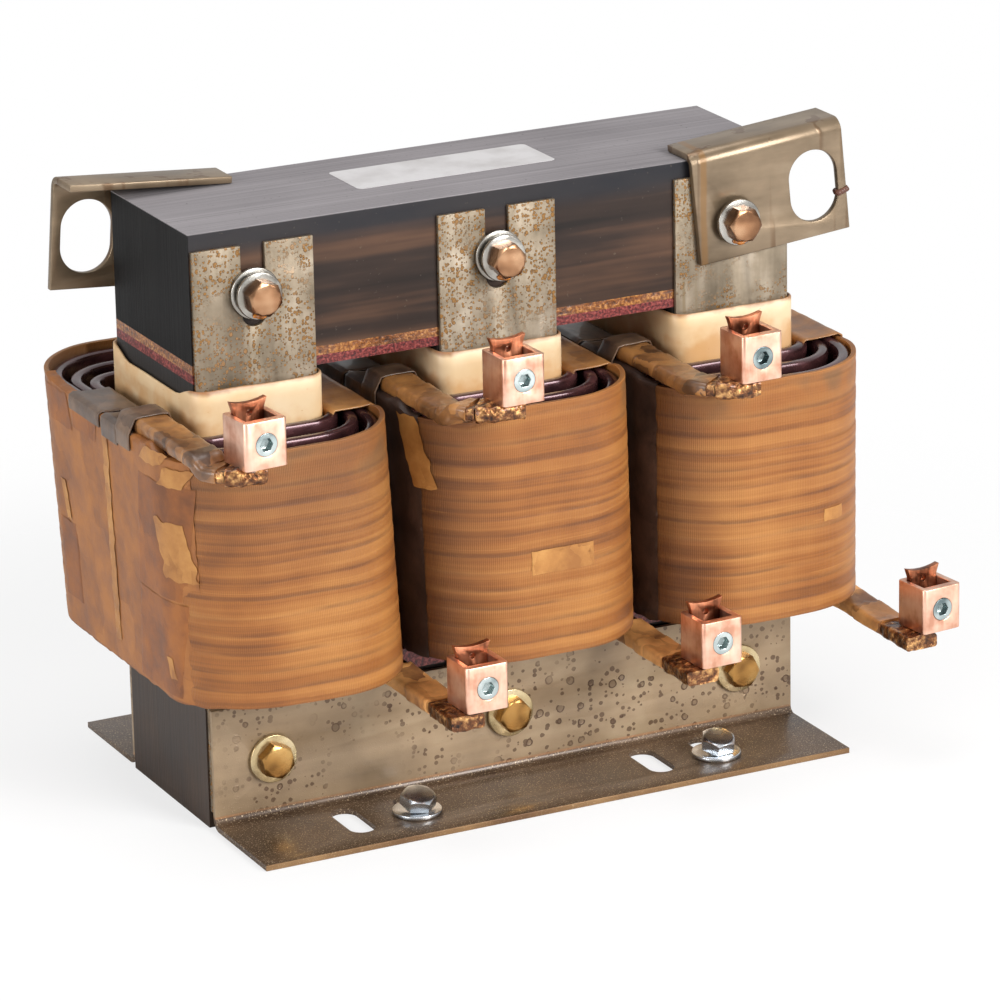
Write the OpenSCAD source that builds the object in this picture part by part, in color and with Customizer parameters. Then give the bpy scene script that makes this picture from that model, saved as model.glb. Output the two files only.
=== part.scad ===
// Three phase line reactor: a laminated core with three taped coils, steel feet and box lugs.
// Millimetres. The origin is the middle of the underside, +X runs along the core,
// -Y is the side of the lugs, and +Z is up. Lists of three go from the left to the right coil.

/* [Core] */
// Width of each leg, and height of both yokes
leg_w = 45.7; // [42:0.1:50]
// Width of each window between two legs
window_w = 45.7; // [43:0.1:60]
// Height of the windows
window_h = 114.3; // [100:0.1:130]
// Depth of the lamination stack
stack_d = 65.7; // [50:0.1:90]
// Thickness of each of the two amber gap sheets
amber_t = 1.6; // [1:0.1:3]
// Thickness of the red gap sheet
red_t = 3.2; // [2:0.1:5]
// Thickness of the red sheets that the coils stand on
window_sheet_t = 7.5; // [5:0.1:10]
// How far the red sheets under the coils stand out of the stack
window_sheet_out = 3; // [0:0.1:3.4]

/* [Tie straps] */
// Distance from the side of a leg to the side of its strap
strap_inset = 0.55; // [0.3:0.05:4]
// Thickness of each tie strap
strap_t = 1.6; // [1:0.1:2.5]
// Distance from the top of the upper yoke down to the strap's top edge
strap_top_drop = 6; // [2:0.1:10]
// Distance from the underside of the core up to the strap's lower edge
strap_foot_rise = 6; // [2:0.1:12]
// Distance from the upper bolt's axis down to the bottom of the strap's slot
strap_slot_drop = 11.7; // [6:0.1:16]

/* [Foot brackets] */
// Height of the upright plate
foot_plate_h = 43.6; // [36:0.1:45]
// Distance from the upright plate's inner face to the foot's free edge
foot_reach = 44.4; // [36:0.1:60]
// How much shorter the brackets are than the core
foot_short = 1.5; // [0:0.1:6]
// Thickness of the sheet
foot_t = 2; // [1.5:0.1:4]
// Inside radius of the fold
foot_fold_r = 2.5; // [1:0.1:5]
// End to end length of the mounting slots
slot_len = 23.8; // [18:0.1:25]
// Width of the mounting slots
slot_w = 9.5; // [8.6:0.1:11]
// Places of the mounting slots along each foot, from the middle
slot_x = [-70.3, -46.3, 46.3, 70.3]; // [-90:0.1:90]
// Distance of the two loose bolts in the front foot from the middle of their slots
foot_bolt_slide = [3.8, 5.8]; // [-6:0.1:6]
// How far the two loose bolts stand to the side in their slots
foot_bolt_aside = [-1.3, -1.1]; // [-1.4:0.1:1.4]
// Angle by which the two loose bolts lean to the front
foot_bolt_tilt = 16; // [0:0.5:18]
// Distance from the foot's free edge to the middle of the slots
slot_edge = 23.3; // [15:0.1:24]

/* [Lifting brackets] */
// Length of the bracket's plate
lift_w = 60; // [52:0.1:80]
// Height of the bracket's plate
lift_h = 40.5; // [36:0.1:50]
// Depth of the flange that lies over the yoke
lift_flange = 17.5; // [10:0.1:26]
// Thickness of the sheet
lift_t = 2.5; // [1.5:0.1:4]
// Inside radius of the fold
lift_fold_r = 2; // [1:0.1:4]
// Distance from the bolt to the bracket's inner end, front bracket then rear bracket
lift_inner_end = [14.8, 14.8]; // [13:0.1:20]
// Angle by which the outer end is raised, front bracket then rear bracket
lift_tilt = [5.4, 4.7]; // [0:0.1:8]
// Width of the lifting eye
eye_w = 19.2; // [12:0.1:21]
// Height of the lifting eye
eye_h = 26; // [22:0.1:28]
// Distance from the bracket's outer end to the middle of the eye
eye_from_end = 12.9; // [12:0.1:18]
// Distance from the top of the flange down to the middle of the eye
eye_drop = 22; // [19:0.1:23]

/* [Former tubes] */
// Wall of the former tubes
tube_t = 1.1; // [0.8:0.1:2]
// Space between leg and tube, at the sides
tube_clear_x = 0.5; // [0.3:0.1:1.5]
// Space between tie strap and tube, at front and rear
tube_clear_y = 2.2; // [1.8:0.1:3]
// Radius of the tube's outer corners
tube_corner_r = 6; // [3:0.1:6]
// Distance from the top of the legs down to the tube's rim
tube_top_drop = 1.8; // [0.5:0.1:6]

/* [Windings] */
// Thickness of the flat copper
copper_t = 4; // [3:0.1:4.5]
// Turns in each layer
turns = 8; // [6:1:12]
// Space between the tube and the first layer at the sides
inner_gap_x = 3; // [2.9:0.1:4]
// Space between layers at the sides
layer_gap_x = 0.3; // [0.2:0.1:0.6]
// Depth of the air duct between the tube and the first layer, at front and rear
inner_duct = 2.8; // [2:0.1:6]
// Depth of the air ducts between layers, at front and rear
layer_duct = 9.7; // [7:0.1:12]
// Inside corner radius of the first layer
layer_corner_r = 9; // [8:0.1:9.5]
// Growth of the corner radius from layer to layer, beyond the copper's thickness
corner_growth = 4.4; // [3:0.1:4.8]
// Distance from the top of the windings to the top of the legs
head_room = [16, 15.6, 18.6]; // [13:0.1:30]
// How far each coil leans over its height
coil_lean = [4.6, 2.2, 0]; // [0:0.1:4.8]
// How far each coil sits off the middle of its leg
coil_offset = [0.3, -0.6, -1.6]; // [-1.7:0.1:0.4]
// Width of the sticks that keep the ducts open
stick_w = 3; // [2:0.1:4]
// Distance of the sticks from the middle of the coil
stick_x = 6; // [5:0.1:6.5]
// Width of the crossovers from layer to layer
crossover_w = 6; // [4:0.1:6]

/* [Tape wraps] */
// Thickness of the outer tape wrap
wrap_t = 1.5; // [1:0.1:2]
// Space between the winding and its wrap
wrap_gap = 0.6; // [0.5:0.1:0.8]
// Extra thickness of every second lap
lap_t = 0.3; // [0.2:0.1:0.6]
// Laps over the height of a coil
laps = 14; // [8:1:20]
// How far each wrap stands above the winding
wrap_rise = [2.4, 2.8, 0.6]; // [0.5:0.1:3]
// Distance from the bottom of each winding up to the wrap's lower edge
wrap_foot_rise = [2.1, 2.4, 0.1]; // [0:0.1:4]
// Depth below the top of the winding of the notch that lets the upper lead out of the wrap
notch_d = 1.5; // [1:0.1:6]

/* [Leads] */
// Width of the flat leads
lead_w = 11; // [8:0.1:11]
// Thickness of the flat leads
lead_t = 4; // [3:0.1:4.4]
// Thickness of the tape round a lead
tape_t = 0.7; // [0.5:0.1:0.8]
// Radius of the upper leads' turn
lead_turn_r = 12; // [10:0.1:12.4]
// Distance from the wrap's front to the middle of the upper lead's end
upper_end_out = 10; // [9:0.1:18]
// Height of the upper lead ends above the top of the windings
upper_end_rise = [-0.1, 6.8, 3.8]; // [-1:0.1:9]
// Place of the upper lead ends, from the middle of each leg
upper_end_x = [-22.2, -18.5, -19.8]; // [-23:0.1:-10]
// Rear end of the upper leads, from the middle of the stack
upper_rear_y = -18.5; // [-22:0.1:0]
// Place of the lower leads' roots under the coils, from the middle of each leg
lower_root_x = [43, 41.5, 34]; // [33:0.1:44]
// Distance from the wrap's front to the lower lead's end
lower_end_out = 23; // [18:0.1:40]
// Drop of the lower leads from their root to their end
lower_end_drop = [3, 2.9, 5.9]; // [0:0.1:8]
// Place of the lower lead ends, from the middle of each leg
lower_end_x = [45.8, 44.5, 40.5]; // [36:0.1:50]
// Thickness of the hammered and brazed lead ends
joint_t = 5.6; // [4.8:0.1:6]
// Length of the brazed ends of the lower leads
joint_len = 17; // [14:0.1:20]

/* [Lugs] */
// Width and depth of a lug's collar
lug_w = 16; // [14:0.1:18]
// Height of a lug's collar
lug_h = 16.5; // [13:0.1:22]
// Side and rear walls of the collar
lug_wall = 2.2; // [1.5:0.1:2.6]
// Front wall of the collar, which takes the set screw
lug_front_wall = 3.2; // [2.5:0.1:3.5]
// Radius of the collar's upright edges
lug_edge_r = 1.5; // [0.5:0.1:2]
// Thickness of the tang inside the collar
tang_t = 2.4; // [1.5:0.1:2.6]
// How far the tang stands above the collar
tang_rise = 4.5; // [3:0.1:9]
// Diameter of the set screw
screw_d = 8; // [6:0.1:10]
// Length of the set screw
screw_len = 6; // [4:0.1:6.5]
// Distance from each upper lead end to the middle of its lug
upper_lug_side = [-0.6, -0.6, 0.2]; // [-1:0.1:3]
// Distance from the lower lead ends to the middle of their lugs
lower_lug_side = 7.5; // [0:0.1:8]
// Angle by which each upper lug is turned
upper_lug_turn = [5, 2, 3]; // [0:0.1:6]
// Angle by which each lower lug is turned
lower_lug_turn = [1, 3, 6]; // [0:0.1:6]

/* [Fasteners] */
// Diameter of the upper bolts
bolt_d = 6.4; // [6:0.1:7.5]
// Diameter of the lower bolts and the foot bolts
small_bolt_d = 6.4; // [5:0.1:8]
// Clearance of the bolts in their holes
bolt_clear = 2.5; // [1.8:0.1:2.8]
// Width across flats of the upper bolt heads and nuts
hex_af = 11.1; // [10:0.1:13]
// Width across flats of the lower and foot bolt heads and nuts
small_af = 11.1; // [10:0.1:13]
// Height of the upper bolt heads
head_h = 5.3; // [4:0.1:7]
// Height of the lower and foot bolt heads
small_head_h = 4.4; // [3:0.1:6]
// Height of the nuts
nut_h = 6; // [5:0.1:9]
// Outer diameter of the washers against the straps
upper_washer_d = 18; // [15:0.1:22]
// Outer diameter of the washers under the upper bolt heads
front_washer_d = 16.5; // [14:0.1:18]
// Outer diameter of the lower washers and the foot washers
lower_washer_d = 17.5; // [15:0.1:22]
// Thickness of the flat washers
washer_t = 1.6; // [1:0.1:2.5]
// Outer diameter of the lock washers
lock_d = 12.5; // [11:0.1:14]
// Thickness of the lock washers
lock_t = 2; // [1.2:0.1:3]
// How far the bolts stand out of their nuts
bolt_end = 2; // [0.5:0.1:5]

/* [Hidden] */
$fn = 48;
// Gap between pieces that only lie against each other
seat = 0.2;
// Gap round pieces that fit into each other
fit = 0.05;
// How far a cut runs past the face that it opens
past = 1;
// Gap between a winding and the sheets under it
coil_seat = 0.3;
// How far the upper corners of a lug tang stand out
tang_flare = 1.2;
// Hole in a lug tang
tang_hole_d = 2.2;

SIDES = ["left", "middle", "right"];
ROWS = ["upper", "lower"];

pitch = leg_w + window_w;
core_l = 3 * leg_w + 2 * window_w;
leg_top = leg_w + window_h;
yoke_z = leg_top + red_t + 2 * amber_t;
core_top = yoke_z + leg_w;
lower_bolt_z = leg_w / 2;
upper_bolt_z = yoke_z + leg_w / 2;
hole_d = bolt_d + bolt_clear;
strap_w = leg_w - 2 * strap_inset;
strap_y = stack_d / 2;
plate_y = strap_y + strap_t;
foot_edge_y = plate_y + foot_reach;
slot_y = foot_edge_y - slot_edge;

tube_x = leg_w / 2 + tube_clear_x;
tube_y = plate_y + tube_clear_y;
winding_z = leg_w + window_sheet_t + coil_seat;
wrap_x = layer_x(2) + copper_t + wrap_gap;
wrap_y = layer_y(2) + copper_t + wrap_gap;
wrap_r = layer_r(2) + copper_t + wrap_gap;
wrap_front = wrap_y + wrap_t + lap_t;

// The upper leads lie on the left side of their coil, between the first layer and the wrap
lead_mid = (layer_x(0) + wrap_x) / 2;
upper_end_y = -(wrap_front + upper_end_out);
turn_step = 5;
drop_end = 20;
sleeve_end = 40;
joint_start = 50;

// Two flat bands of tape lie on the left side of each coil, and an arch holds the lead's rear end
band_t = 0.7;
arch_len = 8;
band_rear_y = stack_d / 2 - arch_len;
band_split_y = [-4, -2];
arch_rear_y = upper_rear_y + 0.5;
arch_front_y = arch_rear_y - arch_len;
cover_front_y = -40;

// The lower leads leave the outer layer at its right side, in front of the foot bracket
lower_root_y = -(plate_y + foot_t + 2 * seat);
lower_root_z = winding_z - 3 * seat - tape_t - lead_t / 2;
lower_end_y = -(wrap_front + lower_end_out);
curve_step = 0.05;
lug_front_gap = 0.5;

// Places of legs, coils and layers
function leg_x(i) = (i - 1) * pitch;
function winding_top(i) = leg_top - head_room[i];
function winding_h(i) = winding_top(i) - winding_z;
function winding_mid(i) = (winding_top(i) + winding_z) / 2;
function turn_h(i) = winding_h(i) / turns;
function turn_z(i, j) = winding_z + j * turn_h(i);
function coil_x(i, z) = leg_x(i) + coil_offset[i] + coil_lean[i] * (winding_mid(i) - z) / winding_h(i);
function layer_x(k) = tube_x + tube_t + inner_gap_x + k * (copper_t + layer_gap_x);
function layer_y(k) = tube_y + tube_t + inner_duct + k * (copper_t + layer_duct);
function layer_r(k) = layer_corner_r + k * (copper_t + corner_growth);
function wrap_top(i) = winding_top(i) + wrap_rise[i];
function wrap_z(i) = winding_z + wrap_foot_rise[i];

// Curves of the leads
function smooth(s) = s * s * (3 - 2 * s);
function unit(v) = v / norm(v);
function bezier(a, b, c, d, s) =
    pow(1 - s, 3) * a + 3 * pow(1 - s, 2) * s * b + 3 * (1 - s) * s * s * c + s * s * s * d;

function upper_x(i) = coil_x(i, winding_top(i)) - lead_mid;
function upper_run_z(i) = winding_top(i) + seat + tape_t + lead_t / 2;
function upper_end_z(i) = winding_top(i) + upper_end_rise[i];
function upper_run(i, y) = [upper_x(i), y, upper_run_z(i)];
function upper_turn(i, from, to) = [
    for (a = [from : turn_step : to])
    [upper_x(i) + lead_turn_r * (1 - cos(a)),
     upper_end_y + lead_turn_r * (1 - sin(a)),
     upper_run_z(i) + (upper_end_z(i) - upper_run_z(i)) * smooth(min(1, a / drop_end))]
];
function upper_tip(i) = [leg_x(i) + upper_end_x[i], upper_end_y, upper_end_z(i)];

function lower_end_z(i) = lower_root_z - lower_end_drop[i];
function lower_curve(i, from, to) =
    let (root = [leg_x(i) + lower_root_x[i], lower_root_y, lower_root_z],
         end = lower_tip(i) + [0, joint_len, 0],
         reach = (root[1] - end[1]) * 0.4)
    [for (s = [from : curve_step : to + curve_step / 2])
        bezier(root, root - [0, reach, 0], end + [0, reach, 0], end, s)];
function lower_tip(i) = [leg_x(i) + lower_end_x[i], lower_end_y, lower_end_z(i)];

// Middle of the underside of each lug's collar
function upper_lug_at(i) =
    upper_tip(i) + [upper_lug_side[i], (lug_w - lead_w) / 2 - 1 - lug_front_gap, joint_t / 2];
function lower_lug_at(i) = lower_tip(i) + [lower_lug_side, lug_w / 2 - lug_front_gap, joint_t / 2];

// Flat outlines
module rounded_box_2d(x, y, r) {
    square([2 * x, 2 * (y - r)], center = true);
    square([2 * (x - r), 2 * y], center = true);
    for (sx = [-1, 1], sy = [-1, 1]) translate([sx * (x - r), sy * (y - r)]) circle(r);
}

module ring_2d(x, y, r, wall) {
    difference() {
        rounded_box_2d(x + wall, y + wall, r + wall);
        rounded_box_2d(x, y, r);
    }
}

module slot_2d(len, w) {
    square([w, len - w], center = true);
    for (s = [-1, 1]) translate([0, s * (len - w) / 2]) circle(d = w);
}

// A folded sheet seen from its end: one side along X, the other along Y, the fold at the origin
module folded_2d(x_len, y_len, t, r) {
    translate([r + t, 0]) square([x_len - r - t, t]);
    translate([0, r + t]) square([t, y_len - r - t]);
    intersection() {
        translate([r + t, r + t]) difference() {
            circle(r + t);
            circle(r);
        }
        square(r + t);
    }
}

module along_y(x, z, d, len) {
    translate([x, 0, z]) rotate([90, 0, 0]) cylinder(d = d, h = len, center = true);
}

module turn_round(half_turn) { rotate([0, 0, half_turn ? 180 : 0]) children(); }

// Sections of a flat bar along a list of points, its width kept level, its edges cut by a chamfer
function bar_section(w, t, chamfer) = [
    [w / 2, -t / 2 + chamfer], [w / 2, t / 2 - chamfer], [w / 2 - chamfer, t / 2],
    [-w / 2 + chamfer, t / 2], [-w / 2, t / 2 - chamfer], [-w / 2, -t / 2 + chamfer],
    [-w / 2 + chamfer, -t / 2], [w / 2 - chamfer, -t / 2]
];
function swept(path, section) = [
    for (i = [0 : len(path) - 1])
    let (ahead = unit(path[min(i + 1, len(path) - 1)] - path[max(i - 1, 0)]),
         side = unit(cross(ahead, [0, 0, 1])),
         up = cross(side, ahead))
    for (q = section) path[i] + q[0] * side + q[1] * up
];
// Faces between neighbouring sections of m points: first is the number of the first point
function skin(n, m, first, inward) = [
    for (i = [0 : n - 2], j = [0 : m - 1])
    let (a = first + i * m + j, b = first + i * m + (j + 1) % m)
    each inward ? [[b, a, b + m], [b + m, a, a + m]] : [[a, b, b + m], [a, b + m, a + m]]
];

module ribbon(path, w, t, chamfer) {
    n = len(path);
    section = bar_section(w, t, chamfer);
    m = len(section);
    caps = [[for (j = [m - 1 : -1 : 0]) j], [for (j = [0 : m - 1]) (n - 1) * m + j]];
    polyhedron(swept(path, section), concat(caps, skin(n, m, 0, false)));
}

// A bar of the same kind with a bore for the lead inside
module ribbon_tube(path, w, t, chamfer, bore_w, bore_t, bore_chamfer) {
    n = len(path);
    outer = bar_section(w, t, chamfer);
    m = len(outer);
    bore = n * m;
    last = (n - 1) * m;
    rims = [
        for (j = [0 : m - 1])
        let (k = (j + 1) % m)
        each [[k, j, bore + j, bore + k], [last + j, last + k, bore + last + k, bore + last + j]]
    ];
    polyhedron(concat(swept(path, outer), swept(path, bar_section(bore_w, bore_t, bore_chamfer))),
               concat(rims, skin(n, m, 0, false), skin(n, m, bore, true)));
}

// Core
module core_e_stack() {
    color([0.16, 0.14, 0.13]) difference() {
        rotate([90, 0, 0]) linear_extrude(stack_d, center = true) difference() {
            translate([-core_l / 2, 0]) square([core_l, leg_top]);
            for (s = [-1, 1])
                translate([s * pitch / 2 - window_w / 2, leg_w]) square([window_w, window_h + past]);
        }
        for (i = [0 : 2]) along_y(leg_x(i), lower_bolt_z, hole_d, stack_d + 2 * past);
    }
}

module core_i_yoke() {
    color([0.3, 0.3, 0.32]) difference() {
        translate([-core_l / 2, -stack_d / 2, yoke_z]) cube([core_l, stack_d, leg_w]);
        for (i = [0 : 2]) along_y(leg_x(i), upper_bolt_z, hole_d, stack_d + 2 * past);
    }
}

module gap_sheet(z, t) { translate([-core_l / 2, -stack_d / 2, z]) cube([core_l, stack_d, t]); }
module gap_sheet_top() { color([0.72, 0.42, 0.13]) gap_sheet(yoke_z - amber_t, amber_t); }
module gap_sheet_middle() { color([0.6, 0.33, 0.1]) gap_sheet(leg_top + red_t, amber_t); }
module gap_sheet_red() { color([0.5, 0.15, 0.17]) gap_sheet(leg_top, red_t); }

module window_sheet(side) {
    sheet_w = pitch - 2 * (tube_x + tube_t + seat);
    sheet_d = stack_d + 2 * window_sheet_out;
    color([0.45, 0.1, 0.13])
        translate([side * pitch / 2 - sheet_w / 2, -sheet_d / 2, leg_w])
            cube([sheet_w, sheet_d, window_sheet_t]);
}

// Straps, feet and lifting brackets
module strap(i, rear) {
    x = leg_x(rear ? 2 - i : i);
    slot_end_z = upper_bolt_z - strap_slot_drop + hole_d / 2;
    color([0.55, 0.53, 0.5]) turn_round(rear) translate([x, -plate_y, 0]) difference() {
        translate([-strap_w / 2, 0, strap_foot_rise])
            cube([strap_w, strap_t, core_top - strap_top_drop - strap_foot_rise]);
        translate([-hole_d / 2, -past, slot_end_z]) cube([hole_d, strap_t + 2 * past, core_top]);
        along_y(0, slot_end_z, hole_d, 4 * strap_t);
        along_y(0, lower_bolt_z, hole_d, 4 * strap_t);
    }
}

module foot_bracket(rear) {
    foot_l = core_l - foot_short;
    color([0.55, 0.47, 0.36]) mirror([0, rear ? 0 : 1, 0]) difference() {
        translate([-foot_l / 2, plate_y, 0]) rotate([90, 0, 90]) linear_extrude(foot_l)
            folded_2d(foot_reach, foot_plate_h, foot_t, foot_fold_r);
        for (i = [0 : 2]) translate([0, plate_y, 0]) along_y(leg_x(i), lower_bolt_z, hole_d, 4 * foot_t);
        for (x = slot_x)
            translate([x, slot_y, -past]) linear_extrude(foot_t + 2 * past) slot_2d(slot_len, slot_w);
    }
}

// The flange's inner end lies on the yoke, the outer end is raised
module lifting_bracket(rear) {
    tilt = lift_tilt[rear ? 1 : 0];
    inner_end = lift_inner_end[rear ? 1 : 0];
    flange_z = (leg_w / 2 + seat + inner_end * sin(tilt)) / cos(tilt) + lift_t;
    color([0.5, 0.44, 0.33]) turn_round(rear)
        translate([pitch, -plate_y, upper_bolt_z]) rotate([0, -tilt, 0]) difference() {
            translate([-inner_end, -lift_t, flange_z]) rotate([0, 90, 0])
                linear_extrude(lift_w) folded_2d(lift_h, lift_flange, lift_t, lift_fold_r);
            along_y(0, 0, hole_d, 4 * lift_t);
            translate([lift_w - inner_end - eye_from_end, 0, flange_z - eye_drop])
                rotate([90, 0, 0]) linear_extrude(4 * lift_t, center = true) slot_2d(eye_h, eye_w);
        }
}

// Coils
module former_tube(i) {
    tube_z = leg_w + seat;
    color([0.9, 0.82, 0.68]) translate([leg_x(i), 0, tube_z])
        linear_extrude(leg_top - tube_top_drop - tube_z)
            ring_2d(tube_x, tube_y, tube_corner_r - tube_t, tube_t);
}

module crossover(i, k, j) {
    translate([coil_x(i, turn_z(i, j + 0.5)) - crossover_w / 2, layer_y(k) + copper_t / 2, turn_z(i, j)])
        cube([crossover_w, layer_duct + copper_t, turn_h(i)]);
}

module winding(i) {
    color([0.3, 0.16, 0.16]) {
        for (k = [0 : 2], j = [0 : turns - 1])
            translate([coil_x(i, turn_z(i, j + 0.5)), 0, turn_z(i, j)])
                linear_extrude(turn_h(i) + (j < turns - 1 ? fit : 0))
                    ring_2d(layer_x(k), layer_y(k), layer_r(k), copper_t);
        crossover(i, 0, 0);
        crossover(i, 1, turns - 1);
    }
}

module duct_sticks(i) {
    color([0.78, 0.68, 0.5])
        translate([leg_x(i) + coil_offset[i], 0, winding_mid(i)])
            rotate([0, -atan(coil_lean[i] / winding_h(i)), 0])
                for (k = [0 : 2], sx = [-1, 1], sy = [-1, 1]) {
                    depth = k == 0 ? inner_duct : layer_duct;
                    translate([sx * stick_x, sy * (layer_y(k) - depth / 2), 0])
                        cube([stick_w, depth - fit, winding_h(i) - turn_h(i)], center = true);
                }
}

module tape_wrap(i) {
    lap_h = (wrap_top(i) - wrap_z(i)) / laps;
    color([0.72, 0.45, 0.18]) difference() {
        for (j = [0 : laps - 1]) {
            z = wrap_z(i) + j * lap_h;
            translate([coil_x(i, z + lap_h / 2), 0, z])
                linear_extrude(lap_h + (j < laps - 1 ? fit : 0))
                    ring_2d(wrap_x, wrap_y, wrap_r, wrap_t + (j % 2) * lap_t);
        }
        translate([upper_x(i) - lead_w, upper_end_y, winding_top(i) - notch_d])
            cube([2 * lead_w, -upper_end_y - (wrap_y - wrap_r), wrap_rise[i] + notch_d + past]);
    }
}

module tape_bands(i) {
    side_w = wrap_x - layer_x(0) - 3 * seat;
    arch_w = lead_w + 2 * seat;
    band_z = winding_top(i) + fit;
    arch_h = upper_run_z(i) + lead_t / 2 + seat - band_z;
    color([0.45, 0.33, 0.22]) translate([coil_x(i, winding_top(i)), 0, band_z]) {
        translate([-layer_x(0) - side_w - seat, band_split_y[1], 0])
            cube([side_w, band_rear_y - band_split_y[1], band_t]);
        translate([-layer_x(0) - side_w - seat, arch_rear_y, 0])
            cube([side_w, band_split_y[0] - arch_rear_y, band_t]);
        translate([layer_x(0) + seat, cover_front_y, 0]) cube([side_w, band_rear_y - cover_front_y, band_t]);
        translate([-lead_mid, arch_front_y, 0]) difference() {
            translate([-arch_w / 2 - band_t, 0, 0])
                cube([arch_w + 2 * band_t, arch_rear_y - arch_front_y, arch_h + band_t]);
            translate([-arch_w / 2, -past, -past])
                cube([arch_w, arch_rear_y - arch_front_y + 2 * past, arch_h + past]);
        }
    }
}

// Leads
module upper_lead(i) {
    pad_x = lead_mid - layer_x(0) - copper_t + seat;
    pad_w = lead_w / 2 - seat - pad_x;
    pad_len = 7;
    color([0.45, 0.24, 0.12]) {
        ribbon(concat([upper_run(i, upper_rear_y)], upper_turn(i, 0, 90), [upper_tip(i)]), lead_w, lead_t, 0.4);
        ribbon(concat(upper_turn(i, joint_start, 90), [upper_tip(i) + [seat, 0, 0]]), lead_w + 2, joint_t, 0.8);
        translate([upper_x(i) + pad_x, upper_rear_y - pad_len, winding_top(i) + fit])
            cube([pad_w, pad_len, upper_run_z(i) - winding_top(i) - fit]);
    }
}

module lower_lead(i) {
    pad_x = coil_x(i, turn_z(i, 0.5)) + layer_x(2) + 2 * seat;
    pad_w = copper_t - 4 * seat;
    pad_len = 4;
    color([0.45, 0.24, 0.12]) {
        ribbon(concat(lower_curve(i, 0, 1), [lower_tip(i)]), lead_w, lead_t, 0.4);
        ribbon([lower_tip(i) + [0, joint_len, 0], lower_tip(i) - [0, seat, 0]], lead_w + 2, joint_t, 0.8);
        translate([pad_x, lower_root_y - pad_len, lower_root_z]) cube([pad_w, pad_len, winding_z - lower_root_z]);
    }
}

module sleeve(path) {
    edge_cut = 0.4;
    ribbon_tube(path, lead_w + 2 * tape_t, lead_t + 2 * tape_t, edge_cut + tape_t,
                lead_w + 4 * fit, lead_t + 4 * fit, edge_cut);
}

module upper_sleeve(i) {
    run_y = arch_front_y - seat;
    color([0.7, 0.43, 0.17]) sleeve(concat([upper_run(i, run_y)], upper_turn(i, 0, sleeve_end)));
}

module lower_sleeve(i) {
    color([0.7, 0.43, 0.17]) sleeve(lower_curve(i, 4 * curve_step, 1 - curve_step));
}

// Lugs
module at_lug(row, i) {
    translate(row == 0 ? upper_lug_at(i) : lower_lug_at(i))
        rotate([0, 0, row == 0 ? upper_lug_turn[i] : lower_lug_turn[i]]) children();
}

module lug_collar(row, i) {
    color([0.78, 0.45, 0.32]) at_lug(row, i) difference() {
        linear_extrude(lug_h) rounded_box_2d(lug_w / 2, lug_w / 2, lug_edge_r);
        translate([lug_wall - lug_w / 2, lug_front_wall - lug_w / 2, -past])
            cube([lug_w - 2 * lug_wall, lug_w - lug_wall - lug_front_wall, lug_h + 2 * past]);
        translate([0, -lug_w / 2, lug_h / 2]) rotate([90, 0, 0])
            cylinder(d = screw_d + 2 * fit, h = 2 * lug_front_wall + past, center = true);
    }
}

// The tang stands on the lead end, runs up the rear wall of the collar and flares above it
module tang_2d() {
    tang_w = lug_w - 2 * lug_wall - 2 * seat;
    top = lug_h + tang_rise;
    difference() {
        union() {
            translate([-tang_w / 2, 0]) square([tang_w, lug_h + tang_rise / 2]);
            polygon([[-tang_w / 2, lug_h + past], [tang_w / 2, lug_h + past],
                     [tang_w / 2 + tang_flare, top], [-tang_w / 2 - tang_flare, top]]);
        }
        translate([0, top + 2 * tang_w - tang_rise / 4]) circle(r = 2 * tang_w);
        translate([0, lug_h]) circle(d = tang_hole_d);
    }
}

module lug_tangs() {
    color([0.65, 0.33, 0.18])
        for (row = [0, 1], i = [0 : 2]) at_lug(row, i)
            translate([0, lug_w / 2 - lug_wall - fit, 0]) rotate([90, 0, 0]) linear_extrude(tang_t) tang_2d();
}

module set_screws() {
    socket_af = screw_d * 0.53;
    color([0.75, 0.78, 0.78])
        for (row = [0, 1], i = [0 : 2]) at_lug(row, i)
            translate([0, -lug_w / 2, lug_h / 2]) rotate([-90, 0, 0]) difference() {
                cylinder(d = screw_d, h = screw_len);
                translate([0, 0, -past]) cylinder(d = socket_af / cos(30), h = screw_len / 2 + past, $fn = 6);
            }
}

// Fasteners
module hex(af, h) { cylinder(d = af / cos(30), h = h, $fn = 6); }

module ring(d, hole, h) {
    difference() {
        cylinder(d = d, h = h);
        translate([0, 0, -past]) cylinder(d = hole, h = h + 2 * past);
    }
}

// Faces that washers lie on: the right upper bolt has a lifting bracket in front, the left one behind
function upper_front(i) = plate_y + (i == 2 ? lift_t : 0);
function upper_rear(i) = plate_y + (i == 0 ? lift_t : 0);
// The bolt through the lifting bracket has no washer under its lock washer
function upper_lock_y(i) = upper_front(i) + (i == 2 ? 0 : washer_t);
function upper_head_y(i) = upper_lock_y(i) + lock_t + washer_t;
lower_face = plate_y + foot_t;
washer_hole = bolt_d + bolt_clear / 2;
small_hole = small_bolt_d + bolt_clear / 2;

module facing_front(x, y, z) { translate([x, -y, z]) rotate([90, 0, 0]) children(); }
module facing_rear(x, y, z) { translate([x, y, z]) rotate([-90, 0, 0]) children(); }

module core_bolt(x, z, head_y, nut_y, d, af, head) {
    facing_front(x, head_y, z) hex(af, head);
    translate([x, -head_y, z]) rotate([-90, 0, 0]) cylinder(d = d, h = head_y + nut_y + nut_h + bolt_end);
}

module core_bolts() {
    small_y = lower_face + washer_t;
    color([0.7, 0.56, 0.3]) for (i = [0 : 2]) {
        core_bolt(leg_x(i), upper_bolt_z, upper_head_y(i), upper_rear(i) + washer_t, bolt_d, hex_af, head_h);
        core_bolt(leg_x(i), lower_bolt_z, small_y, small_y, small_bolt_d, small_af, small_head_h);
    }
}

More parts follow.
